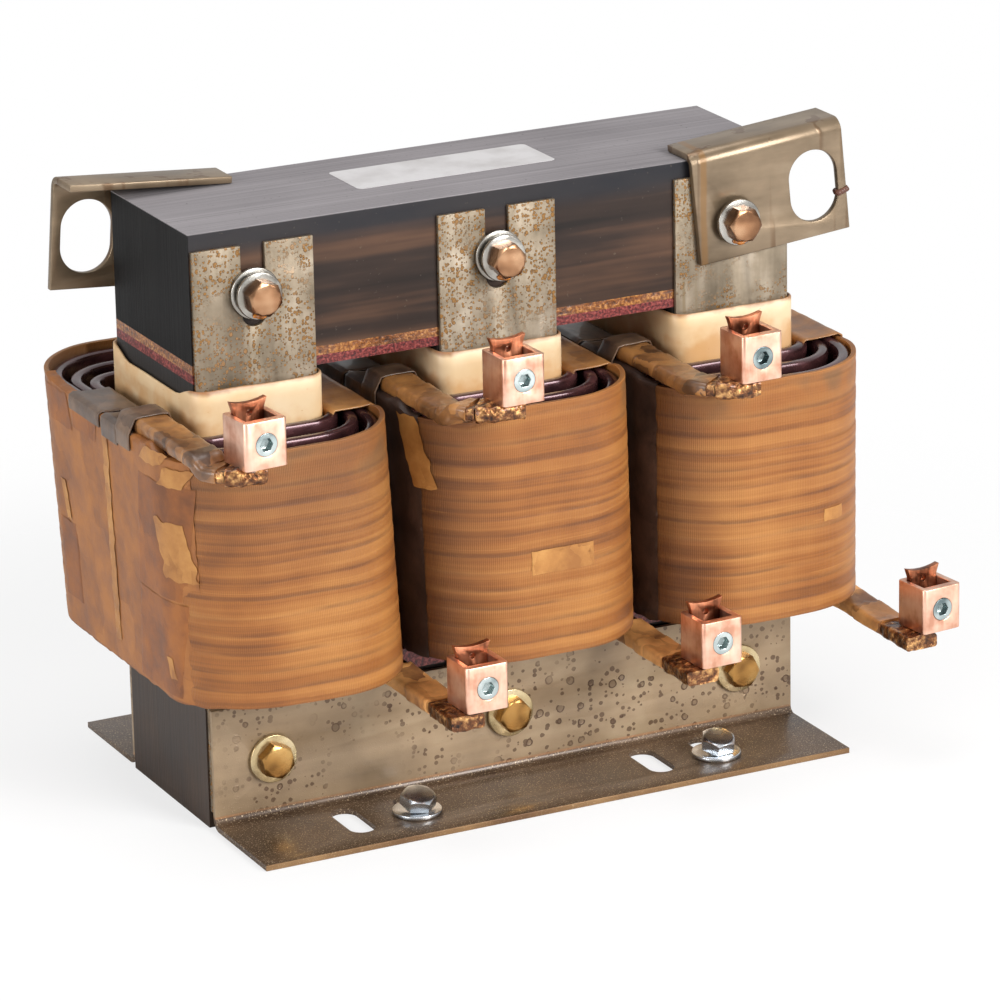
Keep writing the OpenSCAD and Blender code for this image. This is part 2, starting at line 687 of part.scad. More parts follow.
module nut(af, d) {
    difference() {
        hex(af, nut_h);
        translate([0, 0, -past]) cylinder(d = d + 2 * fit, h = nut_h + 2 * past);
    }
}

module core_nuts() {
    color([0.72, 0.72, 0.7]) for (i = [0 : 2]) {
        facing_rear(leg_x(i), upper_rear(i) + washer_t, upper_bolt_z) nut(hex_af, bolt_d);
        facing_rear(leg_x(i), lower_face + washer_t, lower_bolt_z) nut(small_af, small_bolt_d);
    }
}

module upper_washers() {
    color([0.75, 0.74, 0.7]) for (i = [0 : 2]) {
        if (i < 2) facing_front(leg_x(i), upper_front(i), upper_bolt_z)
            ring(upper_washer_d, washer_hole, washer_t);
        facing_front(leg_x(i), upper_head_y(i) - washer_t, upper_bolt_z)
            ring(front_washer_d, washer_hole, washer_t);
        facing_rear(leg_x(i), upper_rear(i), upper_bolt_z) ring(upper_washer_d, washer_hole, washer_t);
    }
}

module lower_washers() {
    color([0.85, 0.8, 0.66]) for (i = [0 : 2]) {
        facing_front(leg_x(i), lower_face, lower_bolt_z) ring(lower_washer_d, small_hole, washer_t);
        facing_rear(leg_x(i), lower_face, lower_bolt_z) ring(lower_washer_d, small_hole, washer_t);
    }
}

// Two bolts stand in slots of the front foot
module at_foot_bolts() {
    translate([slot_x[1] + foot_bolt_aside[0], -slot_y - foot_bolt_slide[0], foot_t]) children();
    translate([slot_x[3] + foot_bolt_aside[1], -slot_y - foot_bolt_slide[1], foot_t]) children();
}

module lock_washers() {
    color([0.6, 0.6, 0.58]) for (i = [0 : 2])
        facing_front(leg_x(i), upper_lock_y(i), upper_bolt_z) ring(lock_d, washer_hole, lock_t);
}

module foot_bolts() {
    head_z = (washer_t / 2 + fit + small_af / sqrt(3) * sin(foot_bolt_tilt)) / cos(foot_bolt_tilt);
    shank = (foot_t + washer_t / 2 - seat - small_bolt_d / 2 * sin(foot_bolt_tilt)) / cos(foot_bolt_tilt);
    color([0.78, 0.8, 0.82]) at_foot_bolts() translate([0, 0, washer_t / 2]) rotate([foot_bolt_tilt, 0, 0]) {
        translate([0, 0, head_z]) hex(small_af, small_head_h);
        translate([0, 0, -shank]) cylinder(d = small_bolt_d, h = shank + head_z + seat);
    }
}

module foot_washers() { color([0.78, 0.8, 0.82]) at_foot_bolts() ring(lower_washer_d, small_hole, washer_t); }

core_e_stack();
core_i_yoke();
gap_sheet_top();
gap_sheet_middle();
gap_sheet_red();
window_sheet(-1);  // window_sheet_left
window_sheet(1);  // window_sheet_right
foot_bracket(false);  // front_foot_bracket
foot_bracket(true);  // rear_foot_bracket
lifting_bracket(false);  // front_lifting_bracket
lifting_bracket(true);  // rear_lifting_bracket
for (i = [0 : 2]) {
    strap(i, false);
    strap(i, true);
    former_tube(i);
    winding(i);
    duct_sticks(i);
    tape_wrap(i);
    tape_bands(i);
    upper_lead(i);
    lower_lead(i);
    upper_sleeve(i);
    lower_sleeve(i);
    lug_collar(0, i);
    lug_collar(1, i);
}
lug_tangs();
set_screws();
core_bolts();
core_nuts();
upper_washers();
lower_washers();
lock_washers();
foot_bolts();
foot_washers();
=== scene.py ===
import math

import bmesh
import bpy
from mathutils import Matrix, Vector, noise


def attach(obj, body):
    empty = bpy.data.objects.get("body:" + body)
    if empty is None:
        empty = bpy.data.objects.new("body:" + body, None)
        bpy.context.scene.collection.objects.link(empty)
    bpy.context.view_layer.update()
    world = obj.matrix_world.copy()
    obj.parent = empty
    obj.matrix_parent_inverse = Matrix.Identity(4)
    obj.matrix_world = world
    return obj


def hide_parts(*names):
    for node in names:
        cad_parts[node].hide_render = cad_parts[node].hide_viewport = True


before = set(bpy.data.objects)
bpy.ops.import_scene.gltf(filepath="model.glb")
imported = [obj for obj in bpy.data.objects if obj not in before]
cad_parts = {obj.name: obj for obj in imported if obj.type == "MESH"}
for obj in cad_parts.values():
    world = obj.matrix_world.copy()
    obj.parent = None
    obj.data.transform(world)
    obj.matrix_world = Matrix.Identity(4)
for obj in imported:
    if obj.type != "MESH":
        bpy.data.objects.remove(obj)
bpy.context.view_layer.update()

# Sizes in millimetres, as in the construction. Lists of three go from the left to the right coil
MM = 0.001
SIDES = ("left", "middle", "right")
LEG_X = (-91.4, 0.0, 91.4)
CORE_TOP = 212.1
PLATE_Y = 34.45
UPPER_BOLT_Z = 189.25
LOWER_BOLT_Z = 22.85
COIL_BOTTOM = 53.5
COIL_TOP = (144.0, 144.4, 141.4)
COIL_LEAN = (4.6, 2.2, 0.0)
COIL_OFFSET = (0.3, -0.6, -1.6)
LAYER_X, LAYER_Y, LAYER_R = (27.45, 31.75, 36.05), (40.55, 54.25, 67.95), (9.0, 17.4, 25.8)
COPPER_T = 4.0
TURNS = 8
WRAP = (40.65, 72.55, 30.4)
WRAP_T = 1.65
WRAP_RISE = (2.4, 2.8, 0.6)
WRAP_FOOT = (55.6, 55.9, 53.6)
LAPS = 14
TUBE = (23.35, 36.65, 4.9)
TUBE_T = 1.1
TUBE_Z = (45.9, 158.2)
LEAD_W, LEAD_T, TAPE_T = 11.0, 4.0, 0.7
LEAD_MID = 34.05
LEAD_TURN = 12.0
UPPER_END_Y = -84.35
UPPER_REAR_Y = -18.5
UPPER_END_X = (-22.2, -18.5, -19.8)
UPPER_END_RISE = (-0.1, 6.8, 3.8)
LOWER_ROOT = (43.0, 41.5, 34.0)
LOWER_END_X = (45.8, 44.5, 40.5)
LOWER_DROP = (3.0, 2.9, 5.9)
LOWER_ROOT_Y, LOWER_ROOT_Z, LOWER_END_Y = -36.85, 50.2, -97.35
JOINT_T, JOINT_LEN = 5.6, 17.0


def coil_x(i, z):
    """The middle of a leaning coil at a height."""
    middle = (COIL_TOP[i] + COIL_BOTTOM) / 2
    return LEG_X[i] + COIL_OFFSET[i] + COIL_LEAN[i] * (middle - z) / (COIL_TOP[i] - COIL_BOTTOM)


def smooth(low, high, x):
    """0 below low, 1 above high, a soft step between them."""
    s = min(1.0, max(0.0, (x - low) / (high - low)))
    return s * s * (3 - 2 * s)


def rough(x, y, z):
    """Even unevenness between about -1 and 1."""
    return noise.noise(Vector((x, y, z)))


def rgb(red, green, blue):
    """A screen colour from 0 to 255, as the shader's numbers."""
    shares = (c / 255 for c in (red, green, blue))
    return tuple(((s + 0.055) / 1.055) ** 2.4 if s > 10 / 255 else s / 12.92 for s in shares)


# Materials

class Flow:
    """A value, colour or vector on its way through the nodes of a material."""

    def __init__(self, tree, socket):
        self.tree, self.socket = tree, socket

    def node(self, kind, inputs, output=0, stops=(), **settings):
        made = self.tree.nodes.new("ShaderNode" + kind)
        for key, value in settings.items():
            setattr(made, key, value)
        if stops:
            points = made.color_ramp.elements
            points[0].position, points[-1].position = stops[0][0], stops[-1][0]
            for place, _ in stops[1:-1]:
                points.new(place)
            for point, (_, colour) in zip(points, stops):
                point.color = (*rgb(*colour), 1)
        for key, value in inputs.items():
            if isinstance(value, Flow):
                self.tree.links.new(value.socket, made.inputs[key])
            else:
                made.inputs[key].default_value = value
        return Flow(self.tree, made.outputs[output])

    def math(self, operation, first, second):
        return self.node("Math", {0: first, 1: second}, operation=operation)

    def __add__(self, other): return self.math("ADD", self, other)
    def __radd__(self, other): return self.math("ADD", other, self)
    def __sub__(self, other): return self.math("SUBTRACT", self, other)
    def __rsub__(self, other): return self.math("SUBTRACT", other, self)
    def __mul__(self, other): return self.math("MULTIPLY", self, other)
    def __mod__(self, other): return self.math("FLOORED_MODULO", self, other)

    def step(self, low, high):
        return self.node("MapRange", {"Value": self, "From Min": low, "From Max": high},
                         interpolation_type="SMOOTHSTEP")

    def most(self, other): return self.math("MAXIMUM", self, other)

    def mix(self, first, second):
        """This value goes from the first colour to the second."""
        pair = [c if isinstance(c, Flow) else (*rgb(*c), 1) for c in (first, second)]
        return self.node("Mix", {0: self, 6: pair[0], 7: pair[1]}, 2, data_type="RGBA")

    def ramp(self, *stops): return self.node("ValToRGB", {"Fac": self}, stops=stops)
    def part(self, axis): return self.node("SeparateXYZ", {0: self}, "XYZ".index(axis))

    def scaled(self, x, y, z):
        return self.node("VectorMath", {0: self, 1: (x, y, z)}, operation="MULTIPLY")

    def grain(self, scale, detail=3.0, roughness=0.55):
        return self.node("TexNoise", {"Vector": self, "Scale": scale, "Detail": detail,
                                      "Roughness": roughness})

    def cells(self, scale, output="Distance", metric="EUCLIDEAN"):
        return self.node("TexVoronoi", {"Vector": self, "Scale": scale}, output, distance=metric)


def finish(name, paint, **fixed):
    """A material: paint gives what varies, fixed sets the rest on the shader's own sockets."""
    material = bpy.data.materials.new(name)
    material.use_nodes = True
    tree = material.node_tree
    shader = tree.nodes["Principled BSDF"]
    names = {"metallic": "Metallic", "coat": "Coat Weight", "coat_roughness": "Coat Roughness",
             "specular": "Specular IOR Level", "tint": "Specular Tint"}
    for key, value in fixed.items():
        shader.inputs[names[key]].default_value = value
    at = Flow(tree, tree.nodes.new("ShaderNodeTexCoord").outputs["Object"])
    for key, value in paint(at).items():
        if key == "Bump":
            height, depth = value
            value = at.node("Bump", {"Height": height, "Distance": depth, "Strength": 1.0})
            key = "Normal"
        if isinstance(value, Flow):
            tree.links.new(value.socket, shader.inputs[key])
        else:
            shader.inputs[key].default_value = value
    return material


def drops(at, scale, share, size):
    """Round drops on a part of the cells: the drop itself, and its rim."""
    wobble = at.grain(scale * 2.2) * (0.2 / scale)
    place = at.node("VectorMath", {0: at, 1: wobble}, operation="ADD")
    near = place.cells(scale)
    chosen = place.cells(scale, "Color").part("X")
    reach = chosen.step(1 - share, 1.0) * size
    inside = (reach - near).step(0.0, 0.05)
    core = (reach - near).step(0.08, 0.16)
    return inside, inside - core


def yoke_paint(at):
    x, z = at.part("X"), at.part("Z")
    sheets = at.scaled(6, 2400, 6).grain(1.0, 2)
    stripes = at.scaled(5, 5, 110).grain(1.0, 3)
    clouds = at.scaled(12, 30, 30).grain(1.0, 4)
    specks = at.grain(900, 2).step(0.7, 0.76)
    top = (sheets * 0.6 + clouds * 0.4).ramp((0.3, (112, 108, 110)), (0.7, (154, 149, 151)))
    top = (specks * 0.8).mix(top, (32, 30, 30))
    heat = (stripes * 0.7 + clouds * 0.3).ramp((0.38, (32, 27, 25)), (0.5, (50, 39, 34)),
                                             (0.64, (94, 68, 52)))
    blue = clouds.ramp((0.3, (30, 32, 38)), (0.7, (52, 48, 48)))
    face = z.step(0.200, 0.2075).mix(heat, blue)
    face = (at.grain(600, 2).step(0.7, 0.75) * 0.4).mix(face, (104, 92, 80))
    end = sheets.ramp((0.35, (10, 10, 11)), (0.65, (27, 26, 26)))
    on_end = x.step(-0.1138, -0.11415).most(x.step(0.1138, 0.11415))
    on_top = z.step(0.2116, 0.21205)
    colour = on_top.mix(on_end.mix(face, end), top)
    return {"Base Color": colour, "Roughness": 0.36 + clouds * 0.2 + on_end * 0.2 + on_top * 0.4,
            "Bump": (sheets, 0.0001)}


def core_paint(at):
    sheets = at.scaled(6, 2000, 6).grain(1.0, 2)
    clouds = at.grain(40, 4)
    colour = (sheets * 0.5 + clouds * 0.5).ramp((0.32, (30, 20, 14)), (0.55, (53, 38, 27)),
                                              (0.75, (76, 56, 40)))
    leg = at.part("Z").step(0.052, 0.06)
    return {"Base Color": leg.mix(colour, (22, 20, 20)), "Roughness": 0.4 + clouds * 0.2,
            "Bump": (sheets, 0.0001)}


def amber_paint(at):
    glitter = at.grain(900, 3)
    run = at.scaled(60, 60, 500).grain(1.0, 3)
    colour = (glitter * 0.6 + run * 0.4).ramp((0.36, (66, 35, 16)), (0.5, (132, 76, 30)),
                                            (0.66, (206, 146, 78)))
    return {"Base Color": colour, "Roughness": 0.2 + glitter * 0.3, "Bump": (glitter, 0.0004)}


def red_paint(at):
    specks = at.grain(1100, 3)
    colour = specks.ramp((0.36, (62, 19, 20)), (0.5, (110, 37, 37)), (0.68, (160, 80, 72)))
    return {"Base Color": colour, "Roughness": 0.4, "Bump": (specks, 0.00015)}


def strap_paint(at):
    brush = at.scaled(260, 260, 18).grain(1.0, 4)
    clouds = at.grain(70, 4)
    steel = (brush * 0.3 + clouds * 0.7).ramp((0.34, (100, 89, 73)), (0.52, (132, 119, 101)),
                                            (0.7, (162, 150, 133)))
    runs = at.scaled(170, 170, 9).grain(1.0, 2).step(0.6, 0.68) * clouds.step(0.4, 0.6)
    steel = (runs * 0.5).mix(steel, (108, 90, 56))
    inside, rim = drops(at, 980, 0.95, 0.58)
    few, few_rim = drops(at.scaled(1, 1, 0.85), 600, 0.6, 0.52)
    patchy = at.grain(38, 2).step(0.36, 0.5)
    wet = (inside * patchy).most(few * patchy)
    edge = (rim * patchy).most(few_rim * patchy)
    drop = (edge * 0.7).mix((146, 102, 46), (84, 54, 22))
    return {"Base Color": (wet * 0.85).mix(steel, drop), "Metallic": 0.7 - wet * 0.6,
            "Roughness": 0.42 - wet * 0.27 + brush * 0.08, "Bump": (wet + brush * 0.05, 0.00025)}


def foot_paint(at):
    brush = at.scaled(14, 180, 120).grain(1.0, 3)
    clouds = at.grain(28, 4)
    sheet = (clouds * 0.7 + brush * 0.3).ramp((0.35, (126, 105, 80)), (0.55, (158, 134, 104)),
                                            (0.72, (180, 158, 127)))
    inside, rim = drops(at, 240, 0.65, 0.42)
    small, _ = drops(at.scaled(1, 1, 1.05), 460, 0.7, 0.5)
    many = at.grain(24, 2).step(0.4, 0.58)
    spots = (inside * 0.45 + rim * 0.45) * many
    sheet = spots.most(small * many * 0.75).mix(sheet, (72, 42, 17))
    z, y = at.part("Z"), at.part("Y")
    dust = at.grain(1900, 1).step(0.6, 0.7)
    foot = clouds.ramp((0.34, (66, 50, 38)), (0.55, (92, 72, 54)), (0.75, (116, 94, 74)))
    foot = (dust * 0.75).mix(foot, (204, 180, 146))
    colour = z.step(0.0052, 0.004).mix(sheet, foot)
    line = z.step(0.0038, 0.0042) * z.step(0.005, 0.0046)
    colour = (line * brush.step(0.4, 0.6) * 0.55).mix(colour, (196, 142, 98))
    edge = y.step(-0.0784, -0.07875).most(y.step(0.0784, 0.07875))
    colour = (edge * 0.75).mix(colour, clouds.ramp((0.35, (112, 76, 40)), (0.7, (170, 132, 84))))
    return {"Base Color": colour, "Metallic": 0.3, "Roughness": 0.3 + clouds * 0.2 - spots * 0.1,
            "Bump": (spots + brush * 0.1 + dust * 0.2, 0.0002)}


def lifting_paint(at):
    brush = at.scaled(40, 200, 220).grain(1.0, 3)
    clouds = at.grain(30, 4)
    drips = at.scaled(150, 150, 7).grain(1.0, 2).step(0.59, 0.67)
    sheet = (brush * 0.3 + clouds * 0.7).ramp((0.34, (104, 88, 68)), (0.55, (136, 117, 94)),
                                              (0.72, (160, 142, 118)))
    x = at.part("X") + at.scaled(60, 60, 60).grain(1.0, 2) * 0.0016
    run = x.step(0.0782, 0.0792) * x.step(0.0816, 0.0806)
    sheet = (run * 0.7).mix(sheet, (124, 86, 34))
    return {"Base Color": (drips * 0.6).mix(sheet, (88, 56, 24)), "Metallic": 0.6 - run * 0.3,
            "Roughness": 0.25 + clouds * 0.2, "Bump": (drips * 0.6 + brush * 0.15, 0.00015)}


def former_paint(at):
    z = at.part("Z")
    clouds = at.grain(34, 3)
    stain = at.grain(90, 3)
    cream = clouds.ramp((0.32, (224, 188, 140)), (0.55, (232, 205, 165)), (0.75, (238, 217, 185)))
    rim = (z + stain * 0.005).step(0.1588, 0.1612)
    low = (stain * 0.03 - z).step(-0.137, -0.127)
    cream = (low * 0.55).mix((rim * 0.85).mix(cream, (140, 84, 40)), (206, 142, 74))
    cream = (at.grain(60, 4).step(0.5, 0.72) * 0.4).mix(cream, (214, 158, 96))
    spots = at.grain(420, 2).step(0.72, 0.78)
    return {"Base Color": (spots * 0.5).mix(cream, (186, 118, 58)), "Roughness": 0.36 + clouds * 0.12,
            "Bump": (clouds, 0.00012)}


def enamel_paint(at):
    clouds = at.scaled(60, 60, 160).grain(1.0, 3)
    colour = clouds.ramp((0.34, (30, 16, 17)), (0.55, (56, 32, 32)), (0.75, (92, 56, 57)))
    return {"Base Color": colour, "Roughness": 0.16 + clouds * 0.2, "Bump": (clouds, 0.00015)}


def tape_paint(light, middle, dark, groove, corner_shade, upper_dark):
    """Lapped woven tape: the map runs round the coil in metres, and upwards in laps. The first share of
    darkening is painted shade on its left corner; the second makes its upper half darker."""
    def paint(at):
        cover = at.node("UVMap", {}, uv_map="laps")
        along, lap = cover.part("X"), cover.part("Y")
        tone = cover.scaled(5, 1.1, 0).grain(1.0, 4, 0.5)
        thin = cover.scaled(5, 5, 0).grain(1.0, 2)
        mist = at.grain(22, 3)
        phase = lap % 1.0
        uneven = cover.scaled(26, 0.9, 0).grain(1.0, 3).step(0.36, 0.66)
        edge = phase.step(0.3, 0.02).most(phase.step(0.9, 1.0)) * (0.07 + uneven * 0.45)
        colour = (tone * 0.44 + thin * 0.18 + mist * 0.38).ramp((0.36, dark), (0.47, middle), (0.61, light))
        colour = edge.mix(colour, groove)
        pale = (phase.step(0.32, 0.38) * phase.step(0.44, 0.38)) * uneven.step(0.72, 0.9)
        colour = (pale * 0.55).mix(colour, light)
        ribs = along.math("SINE", along * 9600.0, 0.0)
        fibre = at.grain(1500, 2)
        smudge = lap.step(11.4, 12.6) * lap.step(13.8, 13.2) * mist.step(0.5, 0.6) * 0.5
        colour = smudge.mix(colour, (84, 70, 52))
        # the upper laps are made darker
        colour = (lap.step(5.0, 13.0) * upper_dark).mix(colour, (82, 60, 44))
        # painted shade: the left side and front-left corner go darker where the neighbouring coil shades them
        corner = (along + tone * 0.02).step(0.2, 0.158) * along.step(0.045, 0.085)
        colour = (corner * corner_shade).mix(colour, (52, 34, 24))
        return {"Base Color": (ribs * 0.05 + 0.05).mix(colour, dark), "Roughness": 0.36 + thin * 0.2,
                "Bump": (ribs * 0.25 + fibre * 0.3 + tone * 1.5, 0.00014)}
    return paint


def band_paint(light, middle, dark, patch=14.0, share=0.14):
    """Tape in patches with square corners, soaked to different tones."""
    def paint(at):
        clouds = at.grain(85, 4, 0.6)
        drift = at.node("VectorMath", {0: at, 1: at.grain(120, 2) * 0.006}, operation="ADD")
        squares = drift.scaled(1, 1, 0.55).cells(1000 / patch, "Color", "CHEBYCHEV").part("X")
        colour = (clouds * (1 - share) + squares * share).ramp((0.34, dark), (0.5, middle), (0.66, light))
        return {"Base Color": colour, "Roughness": 0.3 + clouds * 0.25,
                "Bump": (clouds + squares * 0.25 + at.grain(1600, 1) * 0.15, 0.0002)}
    return paint


def braze_paint(at):
    lumps = at.grain(420, 4)
    tint = at.grain(120, 2)
    colour = (lumps * 0.7 + tint * 0.3).ramp((0.36, (36, 20, 12)), (0.5, (112, 68, 37)),
                                           (0.66, (222, 170, 108)))
    return {"Base Color": colour, "Roughness": 0.2 + tint * 0.2, "Bump": (lumps, 0.0011)}


def copper_paint(light, middle, dark):
    def paint(at):
        clouds = at.grain(130, 3)
        brush = at.scaled(700, 700, 90).grain(1.0, 2)
        colour = (clouds * 0.8 + brush * 0.2).ramp((0.36, dark), (0.5, middle), (0.66, light))
        return {"Base Color": colour, "Roughness": 0.3 + clouds * 0.14, "Bump": (brush, 0.00004)}
    return paint


def zinc_paint(light, middle, dark):
    def paint(at):
        clouds = at.grain(90, 2)
        colour = clouds.ramp((0.3, dark), (0.5, middle), (0.7, light))
        return {"Base Color": colour, "Roughness": 0.2 + clouds * 0.12, "Bump": (at.grain(700, 2), 0.00003)}
    return paint


def paper_paint(at):
    smudge = at.grain(70, 4)
    return {"Base Color": smudge.ramp((0.3, (178, 174, 173)), (0.6, (200, 197, 197))),
            "Roughness": 0.38 + smudge * 0.1}


def varnish_paint(at):
    clouds = at.grain(300, 2)
    return {"Base Color": clouds.ramp((0.35, (96, 50, 12)), (0.65, (214, 128, 30))), "Roughness": 0.12}


def stick_paint(at):
    grain = at.scaled(400, 400, 20).grain(1.0, 3)
    return {"Base Color": grain.ramp((0.35, (120, 90, 56)), (0.65, (176, 142, 96))), "Roughness": 0.6}


YOKE = finish("yoke_laminations", yoke_paint, specular=0.2)
CORE = finish("core_laminations", core_paint)
AMBER = finish("amber_sheet_edge", amber_paint, coat=0.3)
RED = finish("red_fibre_sheet", red_paint)
STRAP = finish("bare_strap_steel", strap_paint)
FOOT = finish("varnished_foot_steel", foot_paint, coat=0.25, coat_roughness=0.2)
LIFTING = finish("varnished_lifting_steel", lifting_paint, coat=0.2, coat_roughness=0.2)
FORMER = finish("stained_former_board", former_paint)
ENAMEL = finish("winding_enamel", enamel_paint, coat=0.5, coat_roughness=0.12, tint=(1.0, 0.5, 0.58, 1.0))
WOVEN = {"coat": 0.06, "coat_roughness": 0.35, "specular": 0.35}
GLOSSY = {"coat": 0.35, "coat_roughness": 0.15}
AMBER_TONES = (178, 121, 62), (147, 90, 40), (102, 59, 28), (72, 41, 27)
WRAP_TAPE = finish("lapped_tape", tape_paint(*AMBER_TONES, corner_shade=0.0, upper_dark=0.3), **WOVEN)
# the middle and right coils' tape carries painted shade on its left corner
SHADED_TAPE = finish("shaded_lapped_tape", tape_paint(*AMBER_TONES, corner_shade=0.6, upper_dark=0.0), **WOVEN)
SIDE_TAPE = finish("side_tape", band_paint((166, 108, 56), (150, 95, 50), (128, 80, 46), 16.0), specular=0.3)
RUST_TAPE = finish("rust_tape", band_paint((156, 96, 46), (136, 82, 42), (112, 68, 40), 12.0), specular=0.3)
# painted shade: a darker copy of the side tape, for the left sides of the middle and right coils that lie in
# shade between the coils
SHADED_SIDE_TAPE = finish("shaded_side_tape", band_paint((82, 62, 52), (66, 50, 43), (50, 38, 34), 16.0), specular=0.3)
COVER_TAPE = finish("cover_tape", band_paint((176, 126, 72), (150, 102, 56), (116, 76, 42)), coat=0.2)
PALE_TAPE = finish("pale_tape", band_paint((190, 138, 76), (174, 120, 62), (150, 98, 48), 8.0), specular=0.35)
BAND_TAPE = finish("binding_tape", band_paint((124, 98, 76), (94, 72, 55), (62, 45, 35), 20.0), coat=0.25)
SLEEVE_TAPE = finish("sleeve_tape", band_paint((174, 121, 67), (133, 89, 49), (75, 49, 29), 9.0, 0.3),
                     **GLOSSY)
# painted light: the lower sleeves take a paler copy of the sleeve tape, which lightens the shade they lie in
# under the coils
LIT_LOWER_TAPE = finish("lit_lower_sleeve_tape", band_paint((236, 172, 104), (202, 142, 82), (138, 92, 56), 9.0, 0.3),
                    **GLOSSY)
BRAZE = finish("hammered_lead_end", braze_paint, metallic=0.85, coat=0.4, coat_roughness=0.1)
COPPER = finish("lug_copper", copper_paint((246, 210, 188), (236, 190, 165), (212, 156, 130)), metallic=1.0)
TANG = finish("stained_tang_copper", copper_paint((208, 144, 110), (160, 100, 72), (92, 54, 38)),
              metallic=1.0)
SCREW = finish("screw_zinc", zinc_paint((208, 216, 214), (172, 184, 184), (108, 122, 124)), metallic=1.0)
GOLD = finish("gold_bolt", zinc_paint((194, 156, 122), (154, 114, 84), (102, 70, 50)), metallic=1.0)
YELLOW = finish("yellow_zinc_bolt", zinc_paint((208, 168, 106), (178, 134, 76), (118, 82, 46)), metallic=1.0)
ZINC = finish("washer_zinc", zinc_paint((182, 180, 174), (158, 154, 147), (120, 114, 105)), metallic=1.0)
CREAM = finish("pale_washer", zinc_paint((222, 204, 166), (198, 178, 136), (156, 132, 92)), metallic=0.8)
BRIGHT = finish("bright_zinc", zinc_paint((240, 244, 248), (206, 212, 218), (150, 156, 164)), metallic=1.0)
TIE = finish("tied_cord", band_paint((132, 84, 62), (98, 58, 42), (62, 36, 28), 3.0))
PAPER = finish("bare_label", paper_paint)
VARNISH = finish("varnish_drop", varnish_paint, coat=0.6, coat_roughness=0.05)
STICK = finish("duct_stick", stick_paint)


# Shaping

def piece(name, bm, material, slot, *nodes, crease=35):
    """Makes a finished piece that rides on the part and stands for the named solids."""
    bmesh.ops.scale(bm, vec=(MM, MM, MM), verts=bm.verts)
    mesh = bpy.data.meshes.new(name)
    bm.to_mesh(mesh)
    bm.free()
    mesh.shade_smooth()
    mesh.set_sharp_from_angle(angle=math.radians(crease))
    mesh.materials.append(material)
    obj = bpy.data.objects.new(name, mesh)
    bpy.context.scene.collection.objects.link(obj)
    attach(obj, "root")
    if nodes:
        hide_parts(*nodes)


def add(bm, part, place=Matrix()):
    """Puts one shape into another."""
    bmesh.ops.transform(part, matrix=place, verts=part.verts)
    mesh = bpy.data.meshes.new("part")
    part.to_mesh(mesh)
    part.free()
    bm.from_mesh(mesh)
    bpy.data.meshes.remove(mesh)


def rounded(x, y, r, arc_steps):
    """A flat rectangle with round corners. x and y are half its sides."""
    bm = bmesh.new()
    corners = bmesh.ops.create_grid(bm, x_segments=1, y_segments=1, size=1.0)["verts"]
    bmesh.ops.scale(bm, vec=(x, y, 1), verts=corners)
    bmesh.ops.bevel(bm, geom=corners, offset=r, offset_type="OFFSET", segments=arc_steps, profile=0.5,
                    affect="VERTICES", material=-1)
    return bm


def outline(x, y, r, arc_steps, step):
    """A rounded rectangle of edges. Each point keeps its place, its way along and its outward side."""
    bm = rounded(x, y, r, arc_steps)
    for edge in [e for e in bm.edges if e.calc_length() > 1.5 * step]:
        bmesh.ops.subdivide_edges(bm, edges=[edge], cuts=max(1, round(edge.calc_length() / step) - 1))
    bmesh.ops.delete(bm, geom=list(bm.faces), context="FACES_ONLY")
    spot = bm.verts.layers.float_vector.new("spot")
    side = bm.verts.layers.float_vector.new("side")
    bm.verts.layers.float.new("lap")
    vert = max(bm.verts, key=lambda v: (round(v.co.y, 3), -abs(v.co.x)))
    edge = min(vert.link_edges, key=lambda e: e.other_vert(vert).co.x)
    along = 0.0
    for _ in range(len(bm.verts)):
        core = Vector((max(r - x, min(x - r, vert.co.x)), max(r - y, min(y - r, vert.co.y)), 0))
        vert[spot] = (vert.co.x, vert.co.y, along)
        vert[side] = (vert.co - core).normalized()
        along += edge.calc_length()
        vert = edge.other_vert(vert)
        edge = next(e for e in vert.link_edges if e != edge)
    return bm


def drawn(bm, edges):
    """Draws edges out into new faces, and gives the new border and its points."""
    made = bmesh.ops.extrude_edge_only(bm, edges=edges)["geom"]
    border = [g for g in made if isinstance(g, bmesh.types.BMEdge) and g.is_boundary]
    return border, [g for g in made if isinstance(g, bmesh.types.BMVert)]


def capped(bm, *loops):
    """Closes open ends and turns all faces outwards."""
    for loop in loops:
        bmesh.ops.contextual_create(bm, geom=loop)
    bmesh.ops.recalc_face_normals(bm, faces=bm.faces)
    return bm


def loft(bm, steps, ring=False):
    """Draws the outline out through the steps, each of which puts a point in its place."""
    spot, side = bm.verts.layers.float_vector["spot"], bm.verts.layers.float_vector["side"]
    lap = bm.verts.layers.float["lap"]
    first = edges = list(bm.edges)
    moved = list(bm.verts)
    for number, step in enumerate(steps):
        if number:
            edges, moved = drawn(bm, edges)
        for v in moved:
            v.co, v[lap] = step(v[spot], v[side])
    if ring:
        bmesh.ops.bridge_loops(bm, edges=first + edges)
        return capped(bm)
    return capped(bm, first, edges)


def stack(bm, point, rows, ring=True):
    """Lofts the outline through rows of a height and a distance outwards."""
    return loft(bm, [lambda s, d, z=z, o=o: point(s, d, z, o) for z, o in rows], ring)


def map_laps(bm):
    """A map that runs round the coil in metres and upwards in laps."""
    spot, lap = bm.verts.layers.float_vector["spot"], bm.verts.layers.float["lap"]
    laps = bm.loops.layers.uv.new("laps")
    total = max(v[spot].z for v in bm.verts)
    for face in bm.faces:
        turn = max(v[spot].z for v in face.verts) > total * 0.75
        for corner in face.loops:
            along = corner.vert[spot].z
            if turn and along < total * 0.25:
                along += total
            corner[laps].uv = (along * MM, corner.vert[lap])


SOFT_ANGLE = 40
FLAT_ANGLE = 0.6
WELD = 0.002


